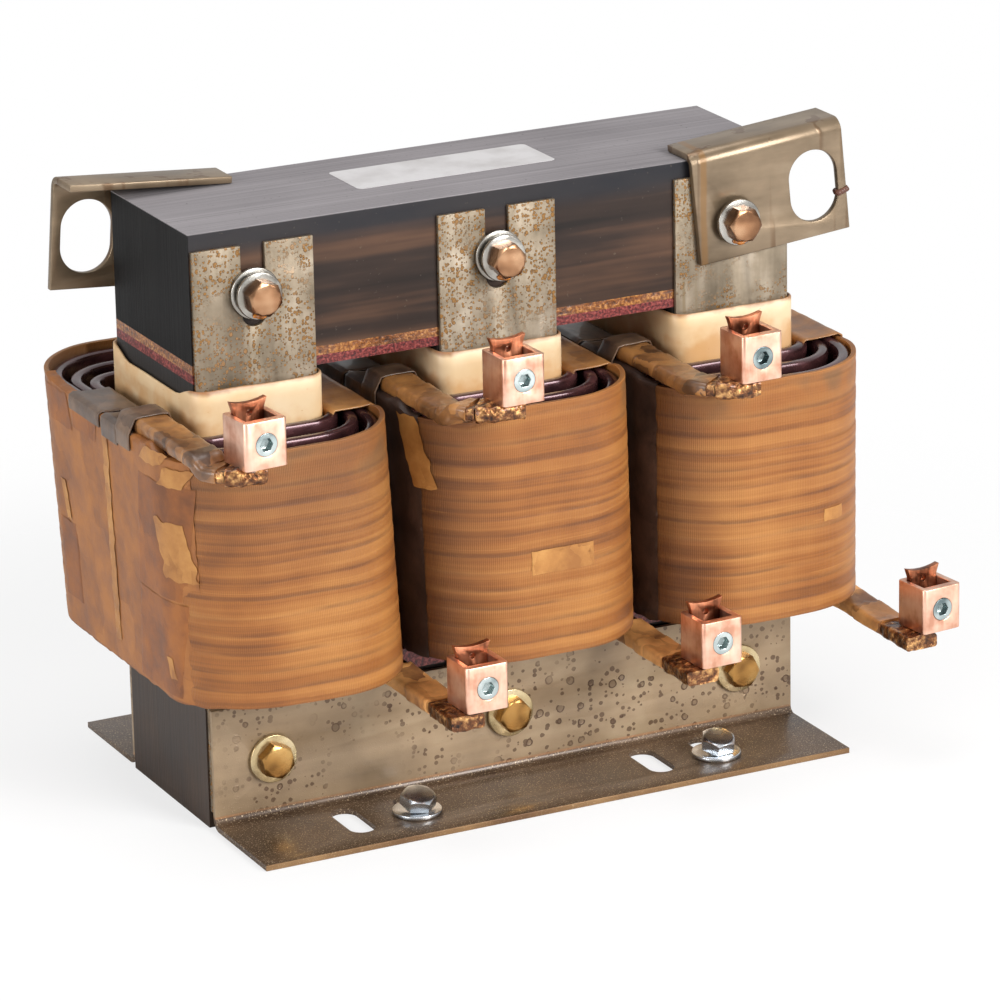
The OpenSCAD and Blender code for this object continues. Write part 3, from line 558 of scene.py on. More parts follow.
def softened(name, node, width, material, slot):
    """A copy of a solid with its sharp edges taken off."""
    bm = bmesh.new()
    bm.from_mesh(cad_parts[node].data)
    bmesh.ops.scale(bm, vec=(1 / MM,) * 3, verts=bm.verts)
    bmesh.ops.remove_doubles(bm, verts=bm.verts, dist=WELD)
    bmesh.ops.dissolve_limit(bm, angle_limit=math.radians(FLAT_ANGLE), verts=bm.verts, edges=bm.edges)
    sharp = [e for e in bm.edges if e.is_manifold and e.calc_face_angle() > math.radians(SOFT_ANGLE)]
    bmesh.ops.bevel(bm, geom=sharp, offset=width, offset_type="OFFSET", segments=2, profile=0.5,
                    affect="EDGES", clamp_overlap=True, material=-1)
    piece(name, bm, material, slot, node)


# Coils

def rim_z(i, s):
    """Top of the outer tape: pressed down under the bindings and cut down where the lead goes out."""
    under_band = smooth(30, 36, abs(s.x)) * smooth(48, 34, abs(s.y))
    rise = WRAP_RISE[i] * (1 - 0.85 * under_band) + 0.35 * rough(s.x / 14, s.y / 14, 3.1 * i)
    out = smooth(-18, -27, s.x) * smooth(-40, -50, s.y)
    return COIL_TOP[i] + rise - out * (rise + 1.3)


def foot_z(i, s):
    """Lower edge of the outer tape, ragged at the left of the left coil."""
    ragged = smooth(-30, -38, s.x) * (1.3 + 1.0 * rough(s.x / 5, s.y / 5, 9.0)) if i == 0 else 0.0
    return WRAP_FOOT[i] - ragged + 0.3 * rough(s.x / 20, s.y / 20, 5.0 + i)


def wrap_point(i, s, side, share, out):
    """A point of the outer tape at a share of its height, and its number of laps."""
    low, high = foot_z(i, s), rim_z(i, s)
    even = WRAP_FOOT[i] + (COIL_TOP[i] + WRAP_RISE[i] - WRAP_FOOT[i]) * share
    sway = math.sin(math.pi * share) * 1.1 * rough(s.x / 70, s.y / 70, share * 9 + 7 * i)
    top = smooth(0.84, 1.0, share)
    ragged = (low - WRAP_FOOT[i]) * (1 - smooth(0, 0.1, share))
    z = (even + sway + ragged) * (1 - top) + (high - 14 * (1 - share)) * top
    uneven = 0.1 * rough(s.x / 17, s.y / 17, z / 9 + 20 * i) + 0.07 * rough(i, 3.7 * int(share * LAPS), 0.5)
    out += uneven * min(1, out)
    return (coil_x(i, z) + s.x + side.x * out, s.y + side.y * out, z), share * LAPS


def tape_wrap(i):
    rows = []
    for lap in range(LAPS):
        for share in (0.03, 0.14, 0.35, 0.65, 0.86, 0.97):
            rows.append(((lap + share) / LAPS, 1.5 + 0.15 * (1 - (2 * share - 1) ** 4) + 0.1 * share))
    rows += [(1.0, 1.2), (1.003, 0.8), (1.0, 0.3), (0.99, 0.05), (0.5, 0.0), (0.0, 0.0)]
    bm = outline(*WRAP, arc_steps=26, step=2.6)
    stack(bm, lambda s, d, share, out: wrap_point(i, s, d, share, out), rows)
    map_laps(bm)
    node = f"tape_wrap_{SIDES[i]}"
    piece(f"{node}_laps", bm, SHADED_TAPE if i else WRAP_TAPE, "wrap_tape", node, crease=60)


def winding(i):
    whole = bmesh.new()
    for k in range(3):
        top = COIL_TOP[i] - (0.0, 0.35, 0.15)[k]
        low = max(COIL_BOTTOM + 0.3, WRAP_FOOT[i] + 0.4) if k == 2 else COIL_BOTTOM + 0.3
        turn = (top - low) / TURNS

        def point(s, side, z, out, k=k):
            z += 0.25 * rough(s.x / 25, s.y / 25, z / 30 + 4 * k + 11 * i)
            return (coil_x(i, z) + s.x + side.x * out, s.y + side.y * out, z), 0.0
        rows = []
        for j in range(TURNS):
            z = low + j * turn
            rows += [(z, 3.75), (z + 0.5, COPPER_T), (z + turn - 0.5, COPPER_T)]
        rim = ((1.3, COPPER_T), (0.4, 3.65), (0.0, 2.9), (0.0, 1.1), (0.4, 0.35), (1.3, 0.0))
        rows[-1:] = [(top - drop, out) for drop, out in rim]
        for j in reversed(range(TURNS)):
            z = low + j * turn
            rows += [(z + 0.5, 0.0), (z, 0.25)] + ([(z - 0.5, 0.0)] if j else [])
        bm = outline(LAYER_X[k], LAYER_Y[k], LAYER_R[k], arc_steps=12, step=7)
        add(whole, stack(bm, point, rows))
    piece(f"winding_{SIDES[i]}_layers", whole, ENAMEL, "winding_enamel", f"winding_{SIDES[i]}")


def former_tube(i):
    bm = outline(*TUBE, arc_steps=8, step=4)

    def point(s, side, z, out):
        if z > 100:
            sag = 0.35 * rough(s.x / 20, s.y / 20, 2.2 * i) - 0.2
            if i == 0:
                sag -= 4.0 * smooth(-18, -23, s.x) * smooth(34, 20, abs(s.y))
            z += sag
        bow = 0.1 * rough(s.x / 16, s.y / 16, z / 14 + 6 * i)
        return (LEG_X[i] + s.x + side.x * (out + bow), s.y + side.y * (out + bow), z), 0.0
    low, high = TUBE_Z
    heights = [low + (high - 0.4 - low) * n / 24 for n in range(25)]
    rows = [(z, TUBE_T) for z in heights] + [(high, TUBE_T * 0.7), (high, TUBE_T * 0.3)]
    rows += [(z, 0.0) for z in (high - 0.4, high - 20, low)]
    stack(bm, point, rows)
    piece(f"former_tube_{SIDES[i]}_board", bm, FORMER, "former_board", f"former_tube_{SIDES[i]}", crease=50)


for coil in range(3):
    tape_wrap(coil)
    winding(coil)
    former_tube(coil)


# Leads

def heading(path, n):
    """The direction of a line of points at one of them."""
    return (path[min(n + 1, len(path) - 1)] - path[max(n - 1, 0)]).normalized()


def sweep(path, w, t, edge, swell, arc_steps=4, step=1.6):
    """A flat bar along a list of points, its width level. swell gives how far its skin stands out."""
    bm = outline(w / 2, t / 2, edge, arc_steps, step)
    steps, gone = [], 0.0
    for n, here in enumerate(path):
        ahead = heading(path, n)
        across = ahead.cross(Vector((0, 0, 1))).normalized()
        up = across.cross(ahead)

        def point(s, side, here=here, across=across, up=up, gone=gone):
            flat = here + across * s.x + up * s.y
            return flat + (across * side.x + up * side.y) * swell(gone, flat), gone
        steps.append(point)
        if n + 1 < len(path):
            gone += (path[n + 1] - here).length
    return loft(bm, steps)


def dense(points, step):
    """The same way with points about a step apart."""
    way = []
    for a, b in zip(points, points[1:]):
        count = max(1, round((b - a).length / step))
        way += [a.lerp(b, n / count) for n in range(count)]
    return way + [points[-1]]


def upper_way(i):
    """The upper lead's line: along the left of the coil, round the corner, to the lug."""
    x, top = coil_x(i, COIL_TOP[i]) - LEAD_MID, COIL_TOP[i]
    run_z, end_z = top + 0.2 + TAPE_T + LEAD_T / 2, top + UPPER_END_RISE[i]
    turn = []
    for a in range(0, 91, 5):
        fall = smooth(0, 20, a)
        turn.append(Vector((x + LEAD_TURN * (1 - math.cos(math.radians(a))),
                            UPPER_END_Y + LEAD_TURN * (1 - math.sin(math.radians(a))),
                            run_z + (end_z - run_z) * fall)))
    tip = Vector((LEG_X[i] + UPPER_END_X[i] + 0.3, UPPER_END_Y, end_z))
    return Vector((x, UPPER_REAR_Y, run_z)), turn, tip


def lower_way(i):
    """The lower lead's line: from under the coil forwards to the lug."""
    root = Vector((LEG_X[i] + LOWER_ROOT[i], LOWER_ROOT_Y, LOWER_ROOT_Z))
    tip = Vector((LEG_X[i] + LOWER_END_X[i], LOWER_END_Y, LOWER_ROOT_Z - LOWER_DROP[i]))
    end = tip + Vector((0, JOINT_LEN, 0))
    reach = Vector((0, (root.y - end.y) * 0.4, 0))
    ways = (root, root - reach, end + reach, end)
    curve = []
    for n in range(21):
        s = n / 20
        weights = ((1 - s) ** 3, 3 * (1 - s) ** 2 * s, 3 * (1 - s) * s * s, s ** 3)
        curve.append(sum((w * p for w, p in zip(weights, ways)), Vector()))
    return curve, tip


def tape_laps(pitch, depth, seed):
    """Laps of tape wound round a lead, with uneven edges."""
    def swell(gone, at):
        lap = (gone / pitch + 0.25 * rough(at.x / 5, at.y / 5, at.z / 5 + seed)) % 1.0
        return depth * (1 - lap) + 0.18 * rough(at.x / 3, at.y / 3, at.z / 3 + seed)
    return swell


def lumps(depth, size, seed):
    """Hammered and brazed metal."""
    def swell(gone, at):
        return depth * (rough(at.x / size, at.y / size, at.z / size + seed)
                        + 0.5 * rough(at.x / size * 2.3, at.y / size * 2.3, at.z / size * 2.3 + seed))
    return swell


def upper_lead(i):
    start, turn, tip = upper_way(i)
    name = SIDES[i]
    bm = sweep(dense([start, *turn[:11]], 3), LEAD_W, LEAD_T, 0.6, lambda gone, at: 0.0)
    joint = dense([*turn[10:], tip], 0.5)
    add(bm, sweep(joint, LEAD_W + 1.6, JOINT_T + 0.2, 1.8, lumps(0.8, 3.4, 5 * i), 4, 0.7))
    piece(f"upper_lead_{name}_braze", bm, BRAZE, "lead_copper", f"upper_lead_{name}", crease=70)
    taped = dense([Vector((start.x, -26.5, start.z)), *turn[:9]], 0.8)
    bm = sweep(taped, LEAD_W + 1.0, LEAD_T + 0.8, 1.7, tape_laps(14, 0.45, 3 * i), 5, 1.0)
    piece(f"upper_sleeve_{name}_tape", bm, SLEEVE_TAPE, "sleeve_tape", f"upper_sleeve_{name}", crease=60)


def lower_lead(i):
    curve, tip = lower_way(i)
    name = SIDES[i]
    bm = sweep(curve, LEAD_W, LEAD_T, 0.6, lambda gone, at: 0.0)
    add(bm, sweep(dense([curve[-1], tip - Vector((0, 0.2, 0))], 0.5), LEAD_W + 1.4, JOINT_T - 0.4, 1.2,
                  lumps(0.4, 3.4, 40 + 5 * i), 4, 0.7))
    piece(f"lower_lead_{name}_braze", bm, BRAZE, "lead_copper", f"lower_lead_{name}", crease=70)
    taped = dense(curve[4:20], 0.8)
    bm = sweep(taped, LEAD_W + 1.0, LEAD_T + 0.8, 1.2, tape_laps(16, 0.45, 60 + 3 * i), 5, 1.0)
    piece(f"lower_sleeve_{name}_tape", bm, LIT_LOWER_TAPE, "sleeve_tape", f"lower_sleeve_{name}", crease=60)


for coil in range(3):
    upper_lead(coil)
    lower_lead(coil)


# Bindings

STRIP_T, STRIP_LIFT = 0.6, 0.15


def strip(i, ways, rear, front, seed):
    """A strip of tape laid across a coil: ways are places from the coil's middle, and heights."""
    places = [Vector((x, 0, z)) for x, z in ways]
    bm = outline((rear - front) / 2, STRIP_T / 2, STRIP_T * 0.45, 2, 1.5)
    steps = []
    way = dense(places, 1.2)
    for n, here in enumerate(way):
        ahead = heading(way, n)
        up = Vector((-ahead.z, 0, ahead.x))
        if up.z < -0.01 or (abs(up.z) <= 0.01 and up.x * here.x < 0):
            up.negate()

        def point(s, side, here=here, up=up, n=n):
            y = (rear + front) / 2 + s.x + math.copysign(0.5, s.x) * rough(n / 6, s.x / 9, seed)
            lift = STRIP_LIFT * rough(n / 5, y / 5, seed + 3)
            at = here + up * (s.y + lift)
            return (coil_x(i, at.z) + at.x, y, at.z), 0.0
        steps.append(point)
    return loft(bm, steps)


def over(i, sign, drop):
    """The way of a strip from beside the tube, over the copper and the rim, down the outside."""
    ways = ((27.3, -4), (27.4, 0.2), (28.2, 0.85), (33, 0.75), (38, 1.0), (41.4, 1.4), (42.9, 0.6),
            (43.2, -1.5), (43.2, -drop))
    return [(sign * x, COIL_TOP[i] + z) for x, z in ways]


def bindings(i):
    bm = strip(i, over(i, -1, 4), 24.5, -2.2, seed=i)
    add(bm, strip(i, over(i, -1, 6), -4.2, -18.0, seed=i + 5))
    top = COIL_TOP[i]
    lead = ((-27.0, top - 3), (-27.1, top + 4), (-27.9, top + 5.9), (-30, top + 6.2), (-38, top + 6.1),
            (-40.3, top + 5.6), (-41.4, top + 3.6), (-43.0, top + 0.8), (-43.2, top - 2), (-43.2, top - 5))
    add(bm, strip(i, lead, -17.0, -28.5, seed=i + 9))
    piece(f"tape_bands_{SIDES[i]}_strips", bm, BAND_TAPE, "band_tape", f"tape_bands_{SIDES[i]}", crease=50)
    bm = strip(i, over(i, 1, 30), 25.0, -40.0, seed=i + 13)
    piece(f"tape_cover_{SIDES[i]}", bm, COVER_TAPE, "band_tape", crease=50)


def ring_spot(along):
    """A place on the outer tape from its way along the outline, and its outward side."""
    x, y, r = (size + WRAP_T for size in WRAP)
    bend = math.pi / 2 * r
    flats = (x - r, 2 * (y - r), 2 * (x - r), 2 * (y - r))
    corners = ((r - x, y - r), (r - x, r - y), (x - r, r - y), (x - r, y - r))
    for number, (flat, corner) in enumerate(zip(flats, corners)):
        angle = math.pi / 2 * (number + 1) + max(0.0, min(bend, along - flat)) / r
        side = Vector((math.cos(angle), math.sin(angle), 0))
        if along <= flat + bend:
            back = Vector((side.y, -side.x, 0)) * max(0.0, flat - along)
            return Vector((*corner, 0)) + side * (r - WRAP_T) + back, side
        along -= flat + bend
    return Vector((x - r - along, y - WRAP_T, 0)), Vector((0, 1, 0))


PATCH_STEP = 1.3


def patch(bm, i, alongs, heights, out, torn, seed, slant=0.0, fold=0.0, sink=0.0, t=0.1):
    """A piece of tape stuck on the outer tape, with torn edges. A fold takes its top over the rim, and
    below the height called sink its front edge goes under the laps."""
    part = bmesh.new()
    wide, high = alongs[1] - alongs[0], heights[1] - heights[0]
    columns, rows = (max(3, round(length / PATCH_STEP)) for length in (wide, high + fold))
    bmesh.ops.create_grid(part, x_segments=columns, y_segments=rows, size=1.0)
    for v in part.verts:
        u, w = (v.co.x + 1) / 2, (v.co.y + 1) / 2
        tear = torn * (abs(v.co.x) ** 6 * math.copysign(1, v.co.x))
        along = alongs[0] + wide * u + tear * 1.6 * rough(w * high / 4, seed, u) + slant * (w - 0.5)
        s, side = ring_spot(along)
        up = w * (high + fold)
        past = max(0.0, up - high)
        tear = torn * (abs(v.co.y) ** 6 * math.copysign(1, v.co.y))
        z = heights[0] + min(up, high) + tear * 1.6 * rough(u * wide / 4, seed + 9, w)
        z = max(z, foot_z(i, s) - 0.6)
        stand = out + 0.12 * rough(along / 9, z / 9, seed + 4)
        stand -= smooth(0.9, 1.0, u) * smooth(sink + 3, sink - 3, z)
        if fold:
            limit = rim_z(i, s) + 0.25
            bend = 0.3 * math.sin(min(1.0, past / 2.4) * math.pi / 2)
            z = limit - (heights[1] - z) * (limit - heights[0]) / high + bend
            stand -= past
        v.co = (coil_x(i, z) + s.x + side.x * stand, s.y + side.y * stand, z)
    bmesh.ops.solidify(part, geom=part.faces[:], thickness=t)
    bmesh.ops.recalc_face_normals(part, faces=part.faces)
    add(bm, part)


def side_tape(i):
    """The sheet of tape over the left side of each coil, and paler pieces stuck on the tape."""
    bm = bmesh.new()
    patch(bm, i, (SHEET_START, SHEET_END[i]), (WRAP_FOOT[i], COIL_TOP[i]), SHEET_OUT, 0.4, 3.0 * i,
          fold=3.5, sink=SHEET_SINK[i], t=0.2)
    # the middle and right sheets take the darker copy as painted shade between the coils
    piece(f"side_sheet_{SIDES[i]}", bm, SHADED_SIDE_TAPE if i else SIDE_TAPE, "wrap_tape", crease=60)
    bm = bmesh.new()
    for alongs, heights, slant, torn in PALE_PATCHES[i]:
        out = FRONT_PATCH_OUT if alongs[0] > FRONT_START else SIDE_PATCH_OUT
        patch(bm, i, alongs, heights, out, torn, alongs[0], slant)
    piece(f"pale_patches_{SIDES[i]}", bm, PALE_TAPE, "wrap_tape", crease=60)


SHEET_START, SHEET_END = 56.0, (166.0, 158.0, 158.0)
SHEET_SINK = (97.0, 0.0, 0.0)
SHEET_OUT, RUST_OUT, SIDE_PATCH_OUT, FRONT_PATCH_OUT = 1.95, 2.08, 2.25, 1.84
FRONT_START = 180.0
# Each patch: ends round the coil, heights, slant and how torn it is
PALE_PATCHES = (
    (((104.0, 108.5), (63.0, 143.0), 4.0, 0.7), ((149.0, 164.0), (99.5, 120.0), -5.0, 1.2),
     ((141.0, 155.0), (139.0, 144.5), 6.0, 0.9), ((153.0, 165.0), (133.0, 139.5), 5.0, 1.0),
     ((64.0, 68.0), (96.0, 110.0), -3.0, 0.7), ((148.5, 151.5), (62.5, 70.0), -2.0, 0.5)),
    (((197.0, 221.0), (86.5, 95.0), 0.0, 0.15), ((151.0, 161.0), (118.0, 143.0), -8.0, 0.9)),
    (((222.0, 231.0), (86.5, 91.0), 0.0, 0.3),))
RUST_PATCHES = (
    ((57.0, 76.0), (131.0, 143.5), -3.0, 0.5), ((78.5, 100.0), (133.0, 143.5), 2.0, 0.3),
    ((132.0, 164.0), (92.0, 133.5), 8.0, 0.2), ((126.0, 160.0), (56.5, 91.0), 6.0, 0.2),
    ((58.0, 74.0), (66.0, 95.0), 0.0, 0.4))
for coil in range(3):
    bindings(coil)
    side_tape(coil)
rust = bmesh.new()
for alongs, heights, slant, torn in RUST_PATCHES:
    patch(rust, 0, alongs, heights, RUST_OUT, torn, alongs[0], slant, sink=SHEET_SINK[0])
piece("rust_patches_left", rust, RUST_TAPE, "wrap_tape", crease=60)


# Lugs and rigid pieces with their edges taken off

for name in SIDES:
    for row in ("upper", "lower"):
        softened(f"{row}_lug_{name}_collar", f"{row}_lug_{name}", 0.35, COPPER, "lug_copper")
    for face in ("front", "rear"):
        softened(f"{face}_strap_{name}_plate", f"{face}_strap_{name}", 0.2, STRAP, "strap_steel")
softened("lug_tang_plates", "lug_tangs", 0.3, TANG, "tang_copper")
softened("set_screw_sockets", "set_screws", 0.3, SCREW, "screw_zinc")
softened("upper_washer_rings", "upper_washers", 0.3, ZINC, "washer_zinc")
softened("lower_washer_rings", "lower_washers", 0.3, CREAM, "pale_washer")
softened("foot_washer_rings", "foot_washers", 0.3, BRIGHT, "bright_zinc")
for face in ("front", "rear"):
    softened(f"{face}_foot_sheet", f"{face}_foot_bracket", 0.3, FOOT, "foot_steel")
    softened(f"{face}_lifting_sheet", f"{face}_lifting_bracket", 0.35, LIFTING, "lifting_steel")

SHOWN = {"core_i_yoke": YOKE, "core_e_stack": CORE, "gap_sheet_top": AMBER, "gap_sheet_middle": AMBER,
         "gap_sheet_red": RED, "window_sheet_left": RED, "window_sheet_right": RED,
         **{f"duct_sticks_{name}": STICK for name in SIDES}}
for node, material in SHOWN.items():
    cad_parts[node].data.materials.clear()
    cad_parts[node].data.materials.append(material)


# Fasteners

LIFT_T, WASHER_T, LOCK_T, FOOT_T = 2.5, 1.6, 2.0, 2.0
BOLT_D, HEX_AF = 6.4, 11.1
HEAD_H, SMALL_HEAD_H, NUT_H = 5.3, 4.4, 6.0
LOCK_IN, LOCK_OUT, LOCK_TURNS = 7.65, 12.5, 44
THREAD_END, NUT_BITE = 2.0, 0.05
HEAD_SPIN = (12, 40, 25)
# The loose bolts in the foot: place, and turn of the head
LOOSE_BOLTS = ((-47.6, -59.35, 10), (69.2, -61.35, 34))
LOOSE_LEAN, LOOSE_HEAD_Z, LOOSE_SHANK, LOOSE_SHANK_Z = 16, 2.73, 4.6, -1.79


def hex_body(h):
    """A hexagon with its corners turned off at the top."""
    bm = bmesh.new()
    bmesh.ops.create_circle(bm, cap_ends=False, radius=HEX_AF / 2 / math.cos(math.pi / 6), segments=6)
    bmesh.ops.subdivide_edges(bm, edges=bm.edges[:], cuts=3)
    crown = HEX_AF / 2 * 0.96
    edges = first = list(bm.edges)
    for step in (0, 1, 2):
        edges, moved = drawn(bm, edges)
        for v in moved:
            reach = math.hypot(v.co.x, v.co.y)
            if step == 0:
                v.co.z = h - 0.2 - (reach - crown) * 0.6
            else:
                share = crown / reach * (1.0 if step == 1 else 0.86)
                v.co = (v.co.x * share, v.co.y * share, h - 0.15 if step == 1 else h)
    return capped(bm, first, edges)


def threaded(length):
    """The end of a bolt with its thread cut in rings."""
    bm = outline(BOLT_D / 2, BOLT_D / 2, BOLT_D / 2 * 0.999, 8, 5)
    rows = [(0.0, 0.0)]
    z = 0.0
    while z < length - 1.2:
        rows += [(z + 0.3, -0.35), (z + 0.6, -0.35), (z + 0.9, 0.0), (z + 1.2, 0.0)]
        z += 1.25
    rows.append((length, -0.6))
    return stack(bm, lambda s, d, z, o: ((s.x + d.x * o, s.y + d.y * o, z), 0.0), rows, ring=False)


def split_ring():
    """A lock washer: a ring with a cut, one end standing higher."""
    bm = rounded((LOCK_OUT - LOCK_IN) / 4, LOCK_T * 0.38, 0.25, 2)
    bmesh.ops.rotate(bm, matrix=Matrix.Rotation(math.radians(90), 3, "X"), verts=bm.verts)
    bmesh.ops.translate(bm, vec=((LOCK_IN + LOCK_OUT) / 4, 0, LOCK_T * 0.4), verts=bm.verts)
    bmesh.ops.spin(bm, geom=bm.faces[:], axis=(0, 0, 1), cent=(0, 0, 0),
                   dvec=(0, 0, LOCK_T * 0.18 / LOCK_TURNS), angle=math.radians(350), steps=LOCK_TURNS,
                   use_merge=False)
    return capped(bm)


def facing(x, y, z, rear=False):
    """Stands a piece made upright on the front or rear face."""
    turn = Matrix.Rotation(math.radians(-90 if rear else 90), 4, "X")
    return Matrix.Translation((x, y, z)) @ turn


upper_heads, lower_heads, nuts, locks, foot_heads = (bmesh.new() for _ in range(5))
for coil, x in enumerate(LEG_X):
    front = PLATE_Y + (LIFT_T if coil == 2 else WASHER_T)
    rear = PLATE_Y + (LIFT_T if coil == 0 else 0) + WASHER_T
    low = PLATE_Y + FOOT_T + WASHER_T
    spin = Matrix.Rotation(math.radians(HEAD_SPIN[coil]), 4, "Z")
    add(locks, split_ring(), facing(x, -front, UPPER_BOLT_Z) @ spin)
    add(upper_heads, hex_body(HEAD_H), facing(x, -front - LOCK_T - WASHER_T, UPPER_BOLT_Z) @ spin)
    add(lower_heads, hex_body(SMALL_HEAD_H), facing(x, -low, LOWER_BOLT_Z) @ spin)
    for heads, y, z in ((upper_heads, rear, UPPER_BOLT_Z), (lower_heads, low, LOWER_BOLT_Z)):
        add(nuts, hex_body(NUT_H), facing(x, y, z, True) @ spin)
        add(heads, threaded(THREAD_END), facing(x, y + NUT_H - NUT_BITE, z, True))
for x, y, angle in LOOSE_BOLTS:
    lean = (Matrix.Translation((x, y, FOOT_T + WASHER_T / 2))
            @ Matrix.Rotation(math.radians(LOOSE_LEAN), 4, "X"))
    spin = Matrix.Rotation(math.radians(angle), 4, "Z")
    add(foot_heads, hex_body(SMALL_HEAD_H), lean @ Matrix.Translation((0, 0, LOOSE_HEAD_Z)) @ spin)
    add(foot_heads, threaded(LOOSE_SHANK), lean @ Matrix.Translation((0, 0, LOOSE_SHANK_Z)))
piece("upper_bolt_heads", upper_heads, GOLD, "bolt_zinc", "core_bolts", crease=25)
piece("lower_bolt_heads", lower_heads, YELLOW, "bolt_zinc", crease=25)
piece("bolt_nuts", nuts, ZINC, "nut_zinc", "core_nuts", crease=25)
piece("lock_washer_springs", locks, ZINC, "washer_zinc", "lock_washers", crease=40)
piece("foot_bolt_heads", foot_heads, BRIGHT, "bright_zinc", "foot_bolts", crease=25)


# Label, varnish drops and cord

LABEL_SIZE, LABEL_AT, LABEL_TURN = (76.2, 25.4), (-2.1, 3.4), 0.3
LABEL_CORNER, LABEL_T, LABEL_GAP = 2.0, 0.12, 0.02
# Each drop under a bolt head: its place aside, and its half sides
DROPS = ((-1.8, (1.3, 0.7, 0.8)), (0.2, (2.0, 1.0, 1.0)), (2.0, (1.4, 0.8, 0.8)))
DROP_Z = 6.9
TIE_X, TIE_Z = 134.7, 193.9


def label():
    """A bare sticker on the upper yoke."""
    bm = rounded(LABEL_SIZE[0] / 2, LABEL_SIZE[1] / 2, LABEL_CORNER, 5)
    top = bmesh.ops.extrude_face_region(bm, geom=bm.faces[:])["geom"]
    raised = [g for g in top if isinstance(g, bmesh.types.BMVert)]
    bmesh.ops.translate(bm, vec=(0, 0, LABEL_T), verts=raised)
    place = Matrix.Translation((*LABEL_AT, CORE_TOP + LABEL_GAP))
    turn = Matrix.Rotation(math.radians(LABEL_TURN), 4, "Z")
    bmesh.ops.transform(bm, matrix=place @ turn, verts=bm.verts)
    piece("bare_label", capped(bm), PAPER, "yoke_iron")


def varnish_drops():
    """Varnish that ran together under the upper bolt heads."""
    bm = bmesh.new()
    for x, front in zip(LEG_X, (2 * WASHER_T, 2 * WASHER_T, WASHER_T + LIFT_T)):
        for side, size in DROPS:
            place = Vector((x + side, -PLATE_Y - front - LOCK_T - 0.3,
                            UPPER_BOLT_Z - DROP_Z + 0.12 * side * side))
            drop = bmesh.new()
            bmesh.ops.create_icosphere(drop, subdivisions=3, radius=1.0)
            bmesh.ops.scale(drop, vec=size, verts=drop.verts)
            for v in drop.verts:
                v.co *= 1 + 0.2 * rough(*(v.co + place))
            add(bm, drop, Matrix.Translation(place))
    piece("varnish_drops", bm, VARNISH, "bolt_zinc", crease=80)


def tie():
    """A cord tied round the lifting bracket's end, beside the eye."""
    bm = outline(1.8, LIFT_T / 2 + 0.1, 0.5, 3, 0.4)

    def point(s, side, z, out):
        out += 0.16 * math.sin(s.z * 3.6 + z * 2.2)
        y = -PLATE_Y - LIFT_T / 2 + s.y + side.y * out
        return (TIE_X + s.x + side.x * out, y, TIE_Z + z + 0.3 * s.x), 0.0
    rows = [(1.1 * math.sin(a * math.pi / 12), 0.85 * math.cos(a * math.pi / 12)) for a in range(-6, 7)]
    stack(bm, point, rows)
    piece("bracket_tie", bm, TIE, "wrap_tape", crease=60)


label()
varnish_drops()
tie()


# Studio

# Each lamp: name, place, aim, size in metres and power in watts
LAMPS = (("key", (0.55, -1.35, 0.8), (0, 0, 0.1), 0.7, 29.0),
         ("left", (-1.35, -0.3, 0.5), (-0.05, 0, 0.1), 0.7, 10.0),
         ("top", (-0.1, 0.1, 1.4), (0, 0, 0.1), 0.9, 9.0))
AIR_LIGHT, GLOSSY_SHARE, FLOOR_GLOW = 0.2, 0.55, 0.72
FLOOR_HALF, FLOOR_Z, FLOOR_FADE = 6.0, -0.0002, (0.2, 0.42)
# The camera that was fitted to the photo: turn, rise and roll in degrees, and place in its own unit
CAMERA_ANGLES = (-26.186, 18.409, -1.158)
CAMERA_UNIT, CAMERA_AT = 0.001143, (11.023, 75.310, 1724.664)
LENS, SENSOR = 197.79, 36.0


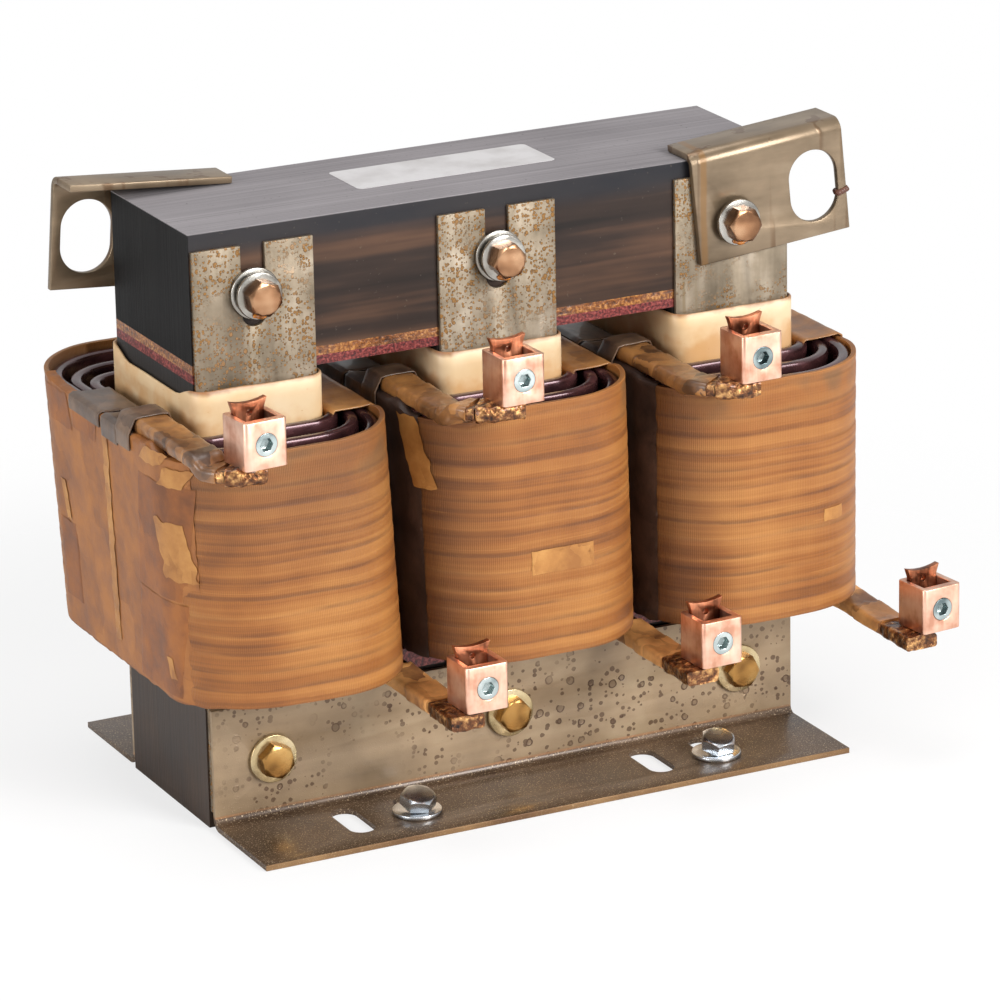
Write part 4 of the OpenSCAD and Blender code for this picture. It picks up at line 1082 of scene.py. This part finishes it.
def studio():
    scene = bpy.context.scene
    scene.view_settings.view_transform = "Standard"
    world = bpy.data.worlds.new("studio")
    scene.world = world
    world.use_nodes = True
    tree = world.node_tree
    path = tree.nodes.new("ShaderNodeLightPath")
    air = Flow(tree, path.outputs["Is Camera Ray"])
    glossy = Flow(tree, path.outputs["Is Glossy Ray"]) * GLOSSY_SHARE
    seen = air.most(glossy).most(Flow(tree, path.outputs["Is Transmission Ray"]))
    back = tree.nodes["Background"]
    back.inputs["Color"].default_value = (1, 1, 1, 1)
    tree.links.new((AIR_LIGHT + seen * (1 - AIR_LIGHT)).socket, back.inputs["Strength"])

    floor = bmesh.new()
    bmesh.ops.create_grid(floor, x_segments=1, y_segments=1, size=FLOOR_HALF)
    mesh = bpy.data.meshes.new("floor")
    floor.to_mesh(mesh)
    floor.free()
    stand = bpy.data.objects.new("floor", mesh)
    stand.location.z = FLOOR_Z
    scene.collection.objects.link(stand)
    pale = bpy.data.materials.new("pale_floor")
    pale.use_nodes = True
    tree = pale.node_tree
    surface = tree.nodes["Principled BSDF"]
    surface.inputs["Base Color"].default_value = (0.9, 0.9, 0.9, 1)
    surface.inputs["Roughness"].default_value = 0.9
    light = Flow(tree, tree.nodes.new("ShaderNodeLightPath").outputs["Is Camera Ray"])
    glow = light.node("Emission", {"Color": (1, 1, 1, 1), "Strength": 1.0})
    near = light.node("MixShader", {0: light * FLOOR_GLOW, 1: Flow(tree, surface.outputs[0]), 2: glow})
    spot = Flow(tree, tree.nodes.new("ShaderNodeTexCoord").outputs["Object"])
    far = spot.node("VectorMath", {0: spot}, "Value", operation="LENGTH").step(*FLOOR_FADE)
    clear = light.node("BsdfTransparent", {})
    both = light.node("MixShader", {0: far * light, 1: near, 2: clear})
    tree.links.new(both.socket, tree.nodes["Material Output"].inputs["Surface"])
    mesh.materials.append(pale)

    for name, place, aim, size, power in LAMPS:
        lamp = bpy.data.lights.new(name, "AREA")
        lamp.size, lamp.energy = size, power
        holder = bpy.data.objects.new(name, lamp)
        holder.location = place
        holder.rotation_euler = (Vector(aim) - Vector(place)).to_track_quat("-Z", "Y").to_euler()
        scene.collection.objects.link(holder)

    azimuth, elevation, roll = (math.radians(a) for a in CAMERA_ANGLES)
    right = Vector((math.cos(azimuth), math.sin(azimuth), 0))
    back = Vector((math.sin(azimuth) * math.cos(elevation), -math.cos(azimuth) * math.cos(elevation),
                   math.sin(elevation)))
    up = back.cross(right)
    across = math.cos(roll) * right + math.sin(roll) * up
    upright = math.cos(roll) * up - math.sin(roll) * right
    camera = bpy.data.cameras.new("camera")
    camera.lens, camera.sensor_width = LENS, SENSOR
    camera.clip_start, camera.clip_end = 0.05, 50.0
    eye = bpy.data.objects.new("camera", camera)
    place = CAMERA_UNIT * (CAMERA_AT[0] * across + CAMERA_AT[1] * upright + CAMERA_AT[2] * back)
    turn = Matrix((across, upright, back)).transposed().to_4x4()
    eye.matrix_world = Matrix.Translation(place) @ turn
    scene.collection.objects.link(eye)
    scene.camera = eye


studio()
